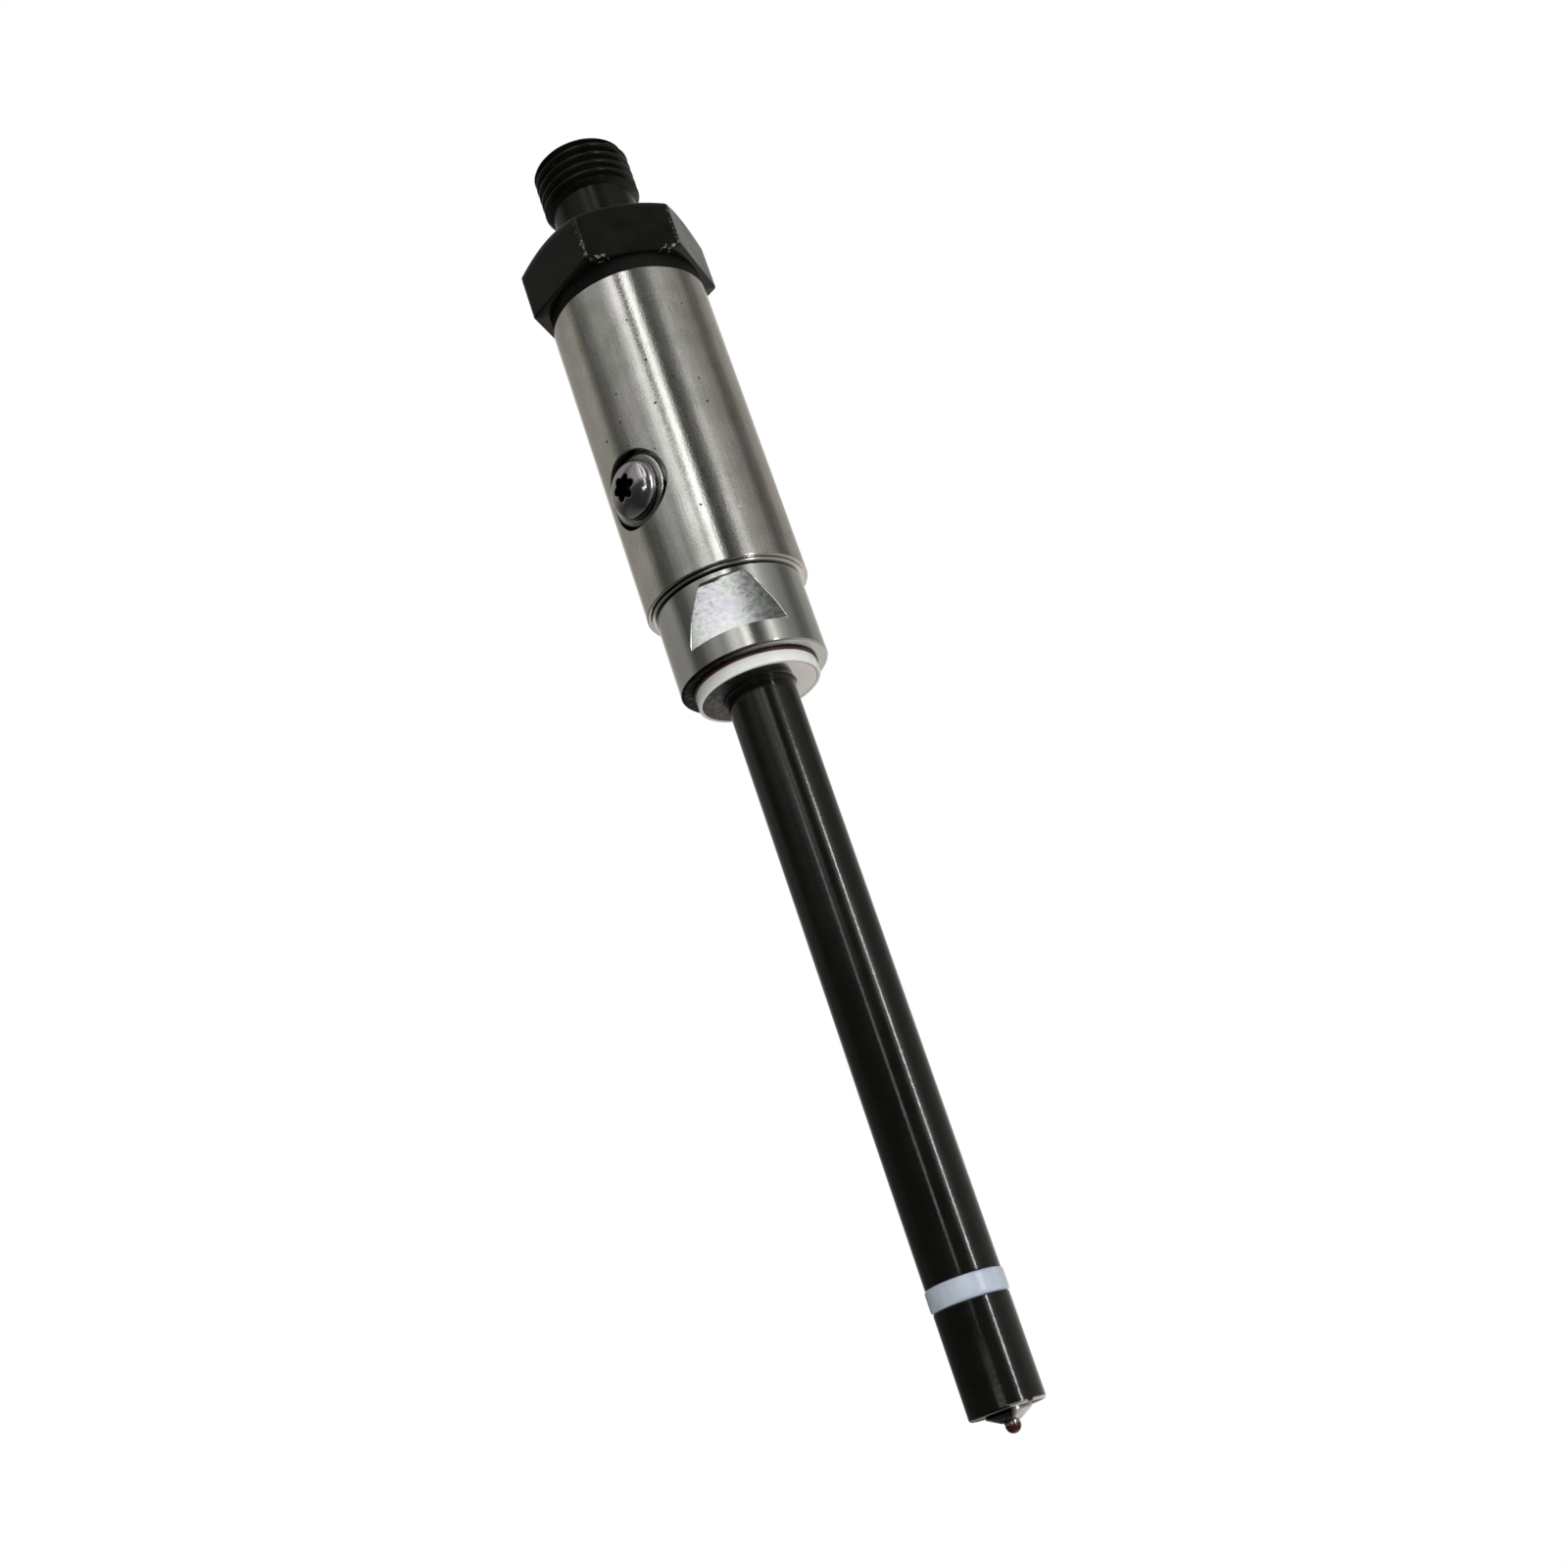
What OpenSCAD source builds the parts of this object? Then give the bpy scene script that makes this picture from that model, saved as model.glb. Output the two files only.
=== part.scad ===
// Pencil-type diesel fuel injector, in millimetres.
// +Z points to the fuel inlet. Z = 0 is the face that seats on the cylinder head,
// so the stem and the spray tip hang below it. The front spanner flat faces -Y.

/* [Stem and tip] */
// Diameter of the stem, the size of the bore it goes into
stem_d = 9.525; // [9.4:0.005:9.6]
// Length of the stem below the seat
stem_len = 95.4; // [85:0.1:110]
// Diameter of the hole down the stem
stem_bore_d = 4.4; // [4.2:0.1:4.8]
// Diameter of the spray tip where it leaves the stem
tip_d = 5.7; // [5.4:0.1:6]
// Radius of the round end of the spray tip
sac_r = 0.95; // [0.9:0.01:1.1]
// Number of spray holes
spray_count = 4; // [3:1:6]
// Diameter of a spray hole
spray_d = 0.3; // [0.2:0.05:0.35]

/* [Carbon dam] */
// Distance from the seat to the top of the carbon dam ring
dam_depth = 80; // [70:0.5:81]
// Width of the carbon dam ring
dam_w = 3; // [2:0.1:3.5]
// Outer diameter of the carbon dam ring
dam_d = 9.84; // [9.84:0.02:10]

/* [Seat] */
// Outer diameter of the seat washer
washer_d = 16.86; // [16:0.02:17.2]
// Thickness of the seat washer
washer_h = 1.7; // [1.4:0.1:1.8]
// Thickness of the red-brown seal ring above it
seal_h = 0.35; // [0.2:0.05:0.4]

/* [Retaining nut] */
// Outer diameter of the retaining nut
nut_d = 20.36; // [20.2:0.02:20.6]
// Height of the retaining nut
nut_h = 11.8; // [11.5:0.1:12]
// Slope of the two spanner flats
flat_slope = 15; // [12:0.5:15]
// Distance from the axis to a flat at its deepest
flat_reach = 7.7; // [7.6:0.05:8]

/* [Barrel] */
// Outer diameter of the barrel
barrel_d = 22.54; // [22.4:0.02:22.8]
// Height of the barrel
barrel_h = 46.9; // [46:0.1:48]
// Diameter of the spring chamber
chamber_d = 9.8; // [9.6:0.1:9.8]
// Diameter of the drilled fuel passage
passage_d = 1.6; // [1.2:0.1:1.6]

/* [Inlet fitting] */
// Distance across the hexagon's flats, 15/16 inch
hex_af = 23.8; // [23.6:0.1:24.2]
// Height of the hexagon
hex_h = 8.4; // [8:0.1:9]
// Turn of the hexagon about the axis
hex_turn = 16.4; // [0:0.2:59]
// Diameter of the neck
neck_d = 12.2; // [12:0.1:12.4]
// Height of the neck
neck_h = 8.1; // [7:0.1:9]
// Major diameter of the inlet thread, M14 x 1.5
inlet_d = 14; // [13.9:0.01:14]
// Length of the inlet thread
inlet_h = 8.1; // [7:0.1:9]

/* [Needle valve] */
// Diameter of the needle
needle_d = 3; // [2.8:0.1:3]
// Diameter of the needle's guided part
guide_d = 5; // [4.8:0.1:5]
// Lift of the needle
lift = 0.3; // [0.2:0.05:0.4]

/* [Bleed screw] */
// Height of the bleed screw above the seat
bleed_z = 30.1; // [29.5:0.1:31]
// Turn of the bleed screw to the left of the front flat
bleed_turn = 40.5; // [35:0.5:45]
// Diameter of the spot face round it
spot_d = 11.2; // [11:0.1:11.4]
// Thread diameter of the bleed screw, M5 x 0.8
bleed_d = 5; // [4.8:0.1:5]

/* [Hidden] */
$fn = 96;
// Cutting tools reach this far past the faces that they open
past = 0.2;
// Play of a running fit, and the gap between faces that part as the needle or screw moves
play = 0.03;
face_gap = 0.02;
// Play between pieces that are screwed or pressed together
seated = 0.04;

// Heights of the seat stack and the nut
nut_z = washer_h + seal_h;
nut_top = nut_z + nut_h;
nut_floor_h = 1.7;
nut_floor = nut_z + nut_floor_h;
nut_bore_r = 6.9;
flat_z = 5.3;
flat_h = 7.7;
ring_gap = 0.1;
ring_h = 0.4;
ring_r = 10.75;

// Heights of the barrel, its spigot and its bores
barrel_z = nut_top + ring_gap + ring_h;
barrel_top = barrel_z + barrel_h;
head_h = 2;
gasket_h = 0.4;
spigot_z = nut_floor + head_h + gasket_h;
guide_r = 4;
guide_top = 22.6;
chamber_floor = 23;
gallery_floor = barrel_top - 11.4;
cap_bore_r = 8.7;

// The stem's collar above the seat, and its head inside the nut
collar_r = 5;
head_r = 6.6;
dowel_r = 0.75;
dowel_h = 3;
dowel_pitch_r = 5.4;

// The spring and the pieces that hold it
spring_wire = 1.5;
spring_mean_r = 3.6;
spring_turns = 8;
seat_z = guide_top + 0.8;
seat_flange_h = 2.2;
seat_top = seat_z + seat_flange_h;
spring_h = 17;
shim_z = seat_top + spring_h;
shim_h = 0.5;
shim_count = 3;
upper_seat_z = shim_z + shim_h * shim_count;
upper_seat_top = gallery_floor;
stub_h = 1.6;
spigot_h = 5;
pin_r = 1.3;

// The fitting's own heights
collar_h = 2.4;
hex_z = barrel_top + collar_h;
hex_top = hex_z + hex_h;
inlet_z = hex_top + neck_h;
inlet_top = inlet_z + inlet_h;
pocket_r = 3.1;
feed_r = 1.5;
nose_r = 6.4;
nose_h = 4;
cap_gasket_h = 0.8;
pocket_h = 16;

// The spray tip
tip_shank_h = 12;
tip_step_h = 1.05;
tip_cone_h = 1.05;
sac_z = -stem_len - 2.1;
sac_hole_r = 0.5;
seat_angle = 30;
tip_bore_r = needle_d / 2 + 0.1;
valve_seat_z = -stem_len + 1.2;

// The bleed screw, measured outward from the axis
spot_floor = 9.3;
bleed_washer_h = 1.15;
bleed_washer_r = 4.75;
bleed_head_z = spot_floor + face_gap + bleed_washer_h + face_gap;
bleed_head_h = 2.3;
bleed_head_r = 4.05;
bleed_shank_h = 4.9;
star_r = 1.93;
star_h = 1.5;

// A flat ring with small chamfers on both outer edges
module ring(inner_r, outer_r, h, bevel = 0) {
  rotate_extrude()
    polygon([[inner_r, 0], [outer_r - bevel, 0], [outer_r, bevel], [outer_r, h - bevel],
             [outer_r - bevel, h], [inner_r, h]]);
}

// A shaft with a chamfer at each end that has one
module shaft(r, h, low_bevel = 0, high_bevel = 0) {
  rotate_extrude()
    polygon([[0, 0], [r - low_bevel, 0], [r, low_bevel], [r, h - high_bevel],
             [r - high_bevel, h], [0, h]]);
}

// A tool that opens a hole from z up by h
module hole(r, z, h) {
  translate([0, 0, z]) cylinder(r = r, h = h);
}

// Turns +Z outward along the bleed screw's axis
module bleed_axis() {
  translate([0, 0, bleed_z]) rotate([0, 0, -bleed_turn]) rotate([90, 0, 0]) children();
}

// Black inlet fitting: thread, neck, hexagon, collar and a drilled nose in the barrel
module inlet_fitting() {
  corner_r = 13.45;
  crown = 1.5;
  crown_r = 11.2;
  cone_mouth_r = 3.6;
  cone_h = (cone_mouth_r - feed_r) / tan(30);
  nose_z = gallery_floor + cap_gasket_h;
  color("#15150f")
  difference() {
    union() {
      translate([0, 0, inlet_z]) shaft(inlet_d / 2, inlet_h, 0.5, 0.7);
      translate([0, 0, hex_z + hex_h / 2]) cylinder(d = neck_d, h = neck_h + hex_h / 2 + past);
      intersection() {
        translate([0, 0, hex_z]) rotate([0, 0, hex_turn - 90]) rotate([0, 0, 30])
          cylinder(r = hex_af / sqrt(3), h = hex_h, $fn = 6);
        translate([0, 0, hex_z]) rotate_extrude()
          polygon([[0, 0], [corner_r, 0], [corner_r, hex_h - crown],
                   [crown_r, hex_h], [0, hex_h]]);
      }
      translate([0, 0, barrel_top]) cylinder(r = 11, h = collar_h + past);
      translate([0, 0, nose_z]) cylinder(r = nose_r, h = nose_h + past);
      translate([0, 0, nose_z + nose_h]) cylinder(r = cap_bore_r - seated, h = barrel_top - nose_z - nose_h + past);
    }
    hole(pocket_r, nose_z - past, pocket_h + past);
    hole(feed_r, nose_z + pocket_h - past, inlet_top - nose_z);
    translate([0, 0, inlet_top - cone_h]) cylinder(r1 = feed_r, r2 = cone_mouth_r, h = cone_h);
    translate([0, 0, inlet_top - past / 2]) cylinder(r = cone_mouth_r, h = past);
    for (turn = [0, 90, 180, 270])
      translate([0, 0, nose_z + nose_h / 2]) rotate([0, 0, turn]) rotate([0, 90, 0])
        cylinder(r = 0.8, h = nose_r + past);
  }
}

// Copper gasket under the fitting's nose
module inlet_gasket() {
  color("#b8734a")
  translate([0, 0, gallery_floor]) ring(chamber_d / 2 + 0.1, nose_r, cap_gasket_h, 0.1);
}

// Top collar of the filter, a push fit in the fitting's pocket
module filter_collar() {
  color("#b9b49a")
  translate([0, 0, gallery_floor + 14.6]) ring(feed_r, pocket_r - seated, 1.8, 0.15);
}

// Drilled filter tube that the fuel leaves through its wall
module filter_screen() {
  tube_r = 2.3;
  tube_h = 10.6;
  color("#a39c83")
  translate([0, 0, gallery_floor + 4])
  difference() {
    ring(feed_r, tube_r, tube_h);
    for (level = [1.3 : 2 : 9.3])
      for (turn = [0 : 60 : 120])
        translate([0, 0, level]) rotate([0, 0, turn]) rotate([0, 90, 0])
          cylinder(r = 0.35, h = 2 * tube_r + 2 * past, center = true);
  }
}

// Solid cap that closes the lower end of the filter
module filter_end_cap() {
  color("#b9b49a")
  translate([0, 0, gallery_floor + 2.6]) shaft(2.5, 1.4, 0.3, 0);
}

// Open wire ring that holds the filter in the pocket
module filter_clip() {
  color("#6f6f6a")
  translate([0, 0, gallery_floor + 1.6])
  difference() {
    ring(2.3, pocket_r - seated, 0.8);
    translate([0, -0.8, -past]) cube([pocket_r + past, 1.6, 1.2]);
  }
}

// Silver barrel: spring chamber, fuel passage, tapped bleed hole and threaded spigot
module barrel() {
  top_r = 7.7;
  bottom_r = 5.3;
  drill_z = spigot_z;
  run = gallery_floor - drill_z;
  color("#a8a69e")
  difference() {
    union() {
      translate([0, 0, barrel_z]) shaft(barrel_d / 2, barrel_h, 0.2, 0.2);
      translate([0, 0, spigot_z]) shaft(nut_bore_r - seated, barrel_z - spigot_z + past, 0.3, 0);
    }
    hole(cap_bore_r, gallery_floor, barrel_top - gallery_floor + past);
    hole(chamber_d / 2, chamber_floor, gallery_floor - chamber_floor + past);
    hole(guide_r + seated, spigot_z - past, chamber_floor - spigot_z + 2 * past);
    translate([bottom_r, 0, drill_z]) rotate([0, atan((top_r - bottom_r) / run), 0])
      translate([0, 0, -past]) cylinder(d = passage_d, h = norm([top_r - bottom_r, run]) + 2 * past);
    bleed_axis() translate([0, 0, spot_floor]) cylinder(d = spot_d, h = barrel_d / 2);
    bleed_axis() cylinder(r = bleed_d / 2 + 2 * play, h = barrel_d / 2);
    for (side = [-1, 1])
      translate([0, side * dowel_pitch_r, spigot_z - past])
        cylinder(r = dowel_r + seated, h = dowel_h / 2 + 2 * past);
  }
}

// Bright steel ring in the joint between the barrel and the nut
module joint_ring() {
  color("#d5d2c8")
  translate([0, 0, nut_top + ring_gap]) ring(nut_bore_r + seated, ring_r, ring_h, 0.12);
}

// Steel nut with two slanted spanner flats, which clamps the stem's head to the barrel
module retaining_nut() {
  color("#9f9c91")
  difference() {
    translate([0, 0, nut_z]) shaft(nut_d / 2, nut_h, 0.35, 0.15);
    hole(nut_bore_r, nut_floor, nut_h);
    hole(collar_r + seated, nut_z - past, nut_h);
    for (turn = [0, 180])
      rotate([0, 0, turn]) intersection() {
        translate([-nut_d / 2, -flat_reach, flat_z]) rotate([flat_slope, 0, 0])
          translate([0, -nut_d, 0]) cube([nut_d, nut_d, nut_h]);
        translate([-nut_d / 2, -nut_d, flat_z]) cube([nut_d, nut_d, flat_h]);
      }
  }
}

// Copper gasket between the stem's head and the barrel's spigot
module stem_gasket() {
  color("#b8734a")
  translate([0, 0, nut_floor + head_h])
  difference() {
    ring(2.5, head_r, gasket_h);
    translate([dowel_pitch_r - 0.1, 0, -past]) cylinder(d = passage_d + 0.2, h = gasket_h + 2 * past);
    for (side = [-1, 1])
      translate([0, side * dowel_pitch_r, -past]) cylinder(r = dowel_r + seated, h = gasket_h + 2 * past);
  }
}

// Two dowels that line the stem up with the fuel passage
module guide_dowels() {
  color("#8f8f8a")
  for (side = [-1, 1])
    translate([0, side * dowel_pitch_r, spigot_z - dowel_h / 2 + 0.1])
      shaft(dowel_r, dowel_h - 0.2, 0.15, 0.15);
}

// Lapped bush that guides the needle
module valve_guide() {
  color("#8d8c86")
  translate([0, 0, spigot_z]) ring(guide_d / 2 + play, guide_r, guide_top - spigot_z, 0.2);
}

// Long black stem with its collar, its clamped head and a groove for the carbon dam
module nozzle_stem() {
  r = stem_d / 2;
  groove_r = r - 0.7;
  slot_r = dowel_pitch_r;
  color("#12120e")
  difference() {
    union() {
      translate([0, 0, -stem_len]) shaft(r, stem_len, 0.25, 0);
      cylinder(r = collar_r, h = nut_floor + past);
      translate([0, 0, nut_floor]) shaft(head_r, head_h, 0.2, 0);
    }
    hole(stem_bore_d / 2, -stem_len - past, stem_len + nut_floor + head_h + 2 * past);
    hole(tip_d / 2 + play, -stem_len - past, tip_shank_h + past);
    translate([0, 0, nut_floor + head_h - 0.6]) linear_extrude(0.6 + past)
      translate([0, -passage_d / 2]) square([slot_r + passage_d / 2, passage_d]);
    translate([0, 0, -dam_depth - dam_w]) difference() {
      cylinder(r = r + past, h = dam_w);
      translate([0, 0, -past]) cylinder(r = groove_r, h = dam_w + 2 * past);
    }
    for (side = [-1, 1])
      translate([0, side * dowel_pitch_r, spigot_z - gasket_h - 1.2])
        cylinder(r = dowel_r + seated, h = dowel_h);
  }
}

// Spray tip pressed into the stem, with its conical needle seat, sac and spray holes
module nozzle_tip() {
  r = tip_d / 2;
  neck_r = sac_r * 0.9;
  seat_h = (tip_bore_r - sac_hole_r) / tan(seat_angle);
  color("#b3ada0")
  difference() {
    union() {
      translate([0, 0, -stem_len - tip_step_h]) rotate_extrude()
        polygon([[0, -tip_cone_h], [neck_r, -tip_cone_h], [r - 0.35, -0.25], [r, 0],
                 [r, tip_shank_h + tip_step_h - 0.3], [r - 0.3, tip_shank_h + tip_step_h], [0, tip_shank_h + tip_step_h]]);
      translate([0, 0, sac_z]) sphere(r = sac_r);
    }
    hole(tip_bore_r, valve_seat_z, stem_len);
    translate([0, 0, valve_seat_z - seat_h]) cylinder(r1 = sac_hole_r, r2 = tip_bore_r, h = seat_h);
    hole(sac_hole_r, sac_z - 0.1, valve_seat_z - seat_h - sac_z + 0.2);
    translate([0, 0, sac_z - 0.1]) sphere(r = sac_hole_r);
    for (i = [0 : spray_count - 1])
      translate([0, 0, sac_z - 0.1]) rotate([0, 0, 45 + i * 360 / spray_count])
        rotate([0, 115, 0]) cylinder(d = spray_d, h = 2 * sac_r);
  }
}

// Needle valve: cone, long needle, guided part and the stub that carries the spring seat
module needle_valve() {
  r = needle_d / 2;
  nose_r = 0.45;
  cone_h = (r - nose_r) / tan(seat_angle);
  // Distance along the axis that leaves the wanted gap square to the seat
  seat_play = (tip_bore_r - r) / tan(seat_angle) - play / sin(seat_angle);
  cone_top = valve_seat_z - seat_play;
  shoulder_z = spigot_z + 0.6;
  color("#9a9a94")
  rotate_extrude()
    polygon([[0, cone_top - cone_h], [nose_r, cone_top - cone_h], [r, cone_top], [r, shoulder_z],
             [guide_d / 2 - 0.4, shoulder_z + 0.4], [guide_d / 2, shoulder_z + 0.8],
             [guide_d / 2, seat_z - 0.2], [guide_d / 2 - 0.2, seat_z], [1.2, seat_z],
             [1.2, seat_z + 1.2], [0, seat_z + 1.2]]);
}

// Lower spring seat, which sits on the needle and moves with it
module spring_seat() {
  color("#8a8983")
  difference() {
    union() {
      translate([0, 0, seat_z]) shaft(4.4, seat_flange_h, 0.3, 0.2);
      translate([0, 0, seat_z]) shaft(2.2, seat_flange_h + spigot_h, 0, 0.4);
    }
    hole(1.2, seat_z - past, 1.2 + past);
  }
}

// Round coil spring with closed ends
module valve_spring() {
  sides = 10;
  steps = spring_turns * 20;
  wire_r = spring_wire / 2;
  // Climb of the wire: the first and last turns lie almost flat
  closed = 1;
  low = wire_r;
  high = spring_h - wire_r;
  free = high - low - 2 * spring_wire * 1.03;
  function rise(t) = t < closed ? t * spring_wire * 1.03
    : t > spring_turns - closed ? high - low - (spring_turns - t) * spring_wire * 1.03
    : spring_wire * 1.03 + free * (t - closed) / (spring_turns - 2 * closed);
  points = [for (i = [0 : steps]) for (j = [0 : sides - 1])
    let (t = i / 20, turn = t * 360, a = j * 360 / sides, r = spring_mean_r + wire_r * cos(a))
    [r * cos(turn), r * sin(turn), low + rise(t) + wire_r * sin(a)]];
  walls = [for (i = [0 : steps - 1]) for (j = [0 : sides - 1])
    let (k = (j + 1) % sides)
    [i * sides + j, i * sides + k, (i + 1) * sides + k, (i + 1) * sides + j]];
  start = [for (j = [0 : sides - 1]) sides - 1 - j];
  end = [for (j = [0 : sides - 1]) steps * sides + j];
  color("#77766f")
  translate([0, 0, seat_top]) polyhedron(points = points, faces = concat(walls, [start, end]), convexity = 10);
}

// Thin rings that set the opening pressure
module pressure_shims() {
  color("#a9a8a0")
  for (i = [0 : shim_count - 1])
    translate([0, 0, shim_z + i * shim_h]) ring(1.6, 4.5, shim_h - face_gap);
}

// Upper spring seat, held down by the fitting
module upper_spring_seat() {
  color("#8a8983")
  translate([0, 0, upper_seat_z])
  difference() {
    shaft(4.7, upper_seat_top - upper_seat_z + cap_gasket_h, 0.2, 0.2);
    hole(pin_r, -past, 4 + past);
  }
}

// Pin inside the spring that stops the needle at full lift
module lift_stop_pin() {
  stop_z = seat_top + spigot_h + lift + face_gap;
  color("#6b6a64")
  translate([0, 0, stop_z]) shaft(pin_r, upper_seat_z + 4 - stop_z, 0.2, 0.1);
}

// Thin red-brown seal ring above the seat washer
module seal_ring() {
  color("#4a1712")
  translate([0, 0, washer_h]) ring(collar_r + seated, washer_d / 2 + 0.3, seal_h, 0.05);
}

// White seal washer with a recess below for its metal face
module seat_washer() {
  color("#e9ebe6")
  difference() {
    ring(collar_r + seated, washer_d / 2, washer_h, 0.15);
    hole(7.95, -past, 0.5 + past);
  }
}

// Metal face of the seat washer
module seat_washer_plate() {
  color("#8b8880")
  ring(collar_r + seated, 7.9, 0.46, 0.05);
}

// Bluish-white ring near the tip that keeps soot out of the bore
module carbon_dam() {
  color("#c9d3e2")
  translate([0, 0, -dam_depth - dam_w + 0.05])
    ring(stem_d / 2 - 0.66, dam_d / 2, dam_w - 0.1, 0.3);
}

// Washer under the bleed screw's head
module bleed_washer() {
  color("#b4b1a8")
  bleed_axis() translate([0, 0, spot_floor + face_gap])
    ring(bleed_d / 2 + 0.1, bleed_washer_r, bleed_washer_h, 0.15);
}

// Button-head bleed screw with a six-lobe recess
module bleed_screw() {
  // The domed head: an arc from the rim to the flat crown
  dome = [for (a = [0 : 10 : 70]) [bleed_head_r - 1.55 * (1 - cos(a)), 0.35 + 1.95 * sin(a) / sin(70)]];
  color("#a5a29a")
  bleed_axis()
  difference() {
    union() {
      translate([0, 0, bleed_head_z]) rotate_extrude()
        polygon(concat([[0, 0], [bleed_head_r - 0.1, 0]], dome, [[0, bleed_head_h]]));
      translate([0, 0, bleed_head_z - bleed_shank_h]) shaft(bleed_d / 2, bleed_shank_h + past, 0.5, 0);
    }
    translate([0, 0, bleed_head_z + bleed_head_h - star_h]) linear_extrude(star_h + past) star();
  }
}

// Six-lobe outline
module star() {
  lobe_r = 0.42;
  difference() {
    union() {
      circle(r = star_r * 0.8);
      for (a = [0 : 60 : 300]) rotate(a) translate([star_r - lobe_r, 0]) circle(r = lobe_r, $fn = 24);
    }
    for (a = [30 : 60 : 330]) rotate(a) translate([star_r * 1.0, 0]) circle(r = 0.52, $fn = 24);
  }
}

inlet_fitting();
inlet_gasket();
filter_collar();
filter_screen();
filter_end_cap();
filter_clip();
barrel();
joint_ring();
retaining_nut();
stem_gasket();
guide_dowels();
valve_guide();
nozzle_stem();
nozzle_tip();
needle_valve();
spring_seat();
valve_spring();
pressure_shims();
upper_spring_seat();
lift_stop_pin();
seal_ring();
seat_washer();
seat_washer_plate();
carbon_dam();
bleed_washer();
bleed_screw();
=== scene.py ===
"""Pencil-type diesel fuel injector: the visible pieces, their finishes, the stage, the lights and the camera.

Sizes are in millimetres and are turned into metres as each mesh is made. +Z points to the fuel inlet.
"""
from math import acos, asin, atan2, copysign, cos, degrees, hypot, pi, radians, sin, sqrt, tan

import bmesh
import bpy
from mathutils import Matrix, Vector


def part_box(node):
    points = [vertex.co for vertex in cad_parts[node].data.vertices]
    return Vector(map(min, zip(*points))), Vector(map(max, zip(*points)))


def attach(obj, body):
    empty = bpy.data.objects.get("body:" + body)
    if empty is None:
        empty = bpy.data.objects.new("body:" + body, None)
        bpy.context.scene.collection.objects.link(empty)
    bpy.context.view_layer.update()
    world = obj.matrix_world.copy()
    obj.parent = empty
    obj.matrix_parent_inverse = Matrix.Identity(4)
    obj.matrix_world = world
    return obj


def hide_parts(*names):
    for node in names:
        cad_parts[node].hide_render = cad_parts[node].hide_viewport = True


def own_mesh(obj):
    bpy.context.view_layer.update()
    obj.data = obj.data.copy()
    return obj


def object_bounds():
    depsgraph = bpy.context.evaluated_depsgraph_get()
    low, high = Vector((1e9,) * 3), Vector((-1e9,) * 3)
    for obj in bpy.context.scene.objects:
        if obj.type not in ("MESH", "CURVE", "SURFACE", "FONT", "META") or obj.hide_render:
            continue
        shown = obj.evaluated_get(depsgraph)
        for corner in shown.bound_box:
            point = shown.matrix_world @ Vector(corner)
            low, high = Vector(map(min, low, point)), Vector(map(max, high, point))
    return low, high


MM = 0.001
TURN = 2 * pi

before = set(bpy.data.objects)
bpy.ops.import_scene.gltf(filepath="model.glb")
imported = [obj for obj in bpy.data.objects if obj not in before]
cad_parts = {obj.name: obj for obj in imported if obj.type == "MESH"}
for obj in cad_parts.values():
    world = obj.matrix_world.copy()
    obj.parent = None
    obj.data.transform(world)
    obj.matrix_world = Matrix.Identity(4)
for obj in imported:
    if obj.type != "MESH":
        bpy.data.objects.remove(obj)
cad_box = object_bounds()


# --- sizes from the frame

def low(node, axis=2):
    """Lowest coordinate of a CAD node, in millimetres."""
    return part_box(node)[0][axis] / MM


def high(node, axis=2):
    """Highest coordinate of a CAD node, in millimetres."""
    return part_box(node)[1][axis] / MM


def radius(node):
    """Outer radius of a CAD node that is round about the injector's axis, in millimetres."""
    return high(node, 0)


BARREL_R = radius("barrel")
BARREL_TOP = high("barrel")
RING_LOW = low("joint_ring")
RING_TOP = high("joint_ring")
SPIGOT_Z = low("barrel")
GALLERY_Z = low("inlet_gasket")
CHAMBER_R = 4.9
CHAMBER_Z = 23.0
NUT_R = radius("retaining_nut")
NUT_LOW = low("retaining_nut")
NUT_TOP = high("retaining_nut")
NUT_FLOOR = NUT_LOW + 1.7
NUT_BORE_R = 6.9
FLAT_REACH = 7.7
FLAT_LOW = 5.3
FLAT_TOP = 13.0
FLAT_SLOPE = radians(15)
STEM_R = 4.7625
STEM_END = low("nozzle_stem")
STEM_TOP = high("nozzle_stem")
STEM_BORE_R = 2.2
COLLAR_R = 5.0
INLET_TOP = high("inlet_fitting")
INLET_R = 7.0
THREAD_LEN = 8.1
THREAD_PITCH = 1.5
THREAD_DEPTH = 0.92
NECK_R = 6.1
NECK_LEN = 8.1
HEX_TOP = INLET_TOP - THREAD_LEN - NECK_LEN
HEX_H = 8.4
HEX_APOTHEM = 11.73
HEX_CORNER_R = 13.45
HEX_CROWN_R = 11.2
HEX_TURN = radians(16.4)
FITTING_COLLAR_R = 11.0
BLEED_Z = 30.1
BLEED_TURN = radians(40.5)
BLEED_OUT = Vector((-sin(BLEED_TURN), -cos(BLEED_TURN), 0))
SPOT_R = 5.45
SPOT_FLOOR = 9.3
BLEED_WASHER_R = 4.95
BLEED_WASHER_Z = 9.32
BLEED_WASHER_H = 1.15
HEAD_Z = 10.49
HEAD_R = 4.05
HEAD_H = 2.3
STAR_R = 1.93


# --- mesh tools

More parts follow.
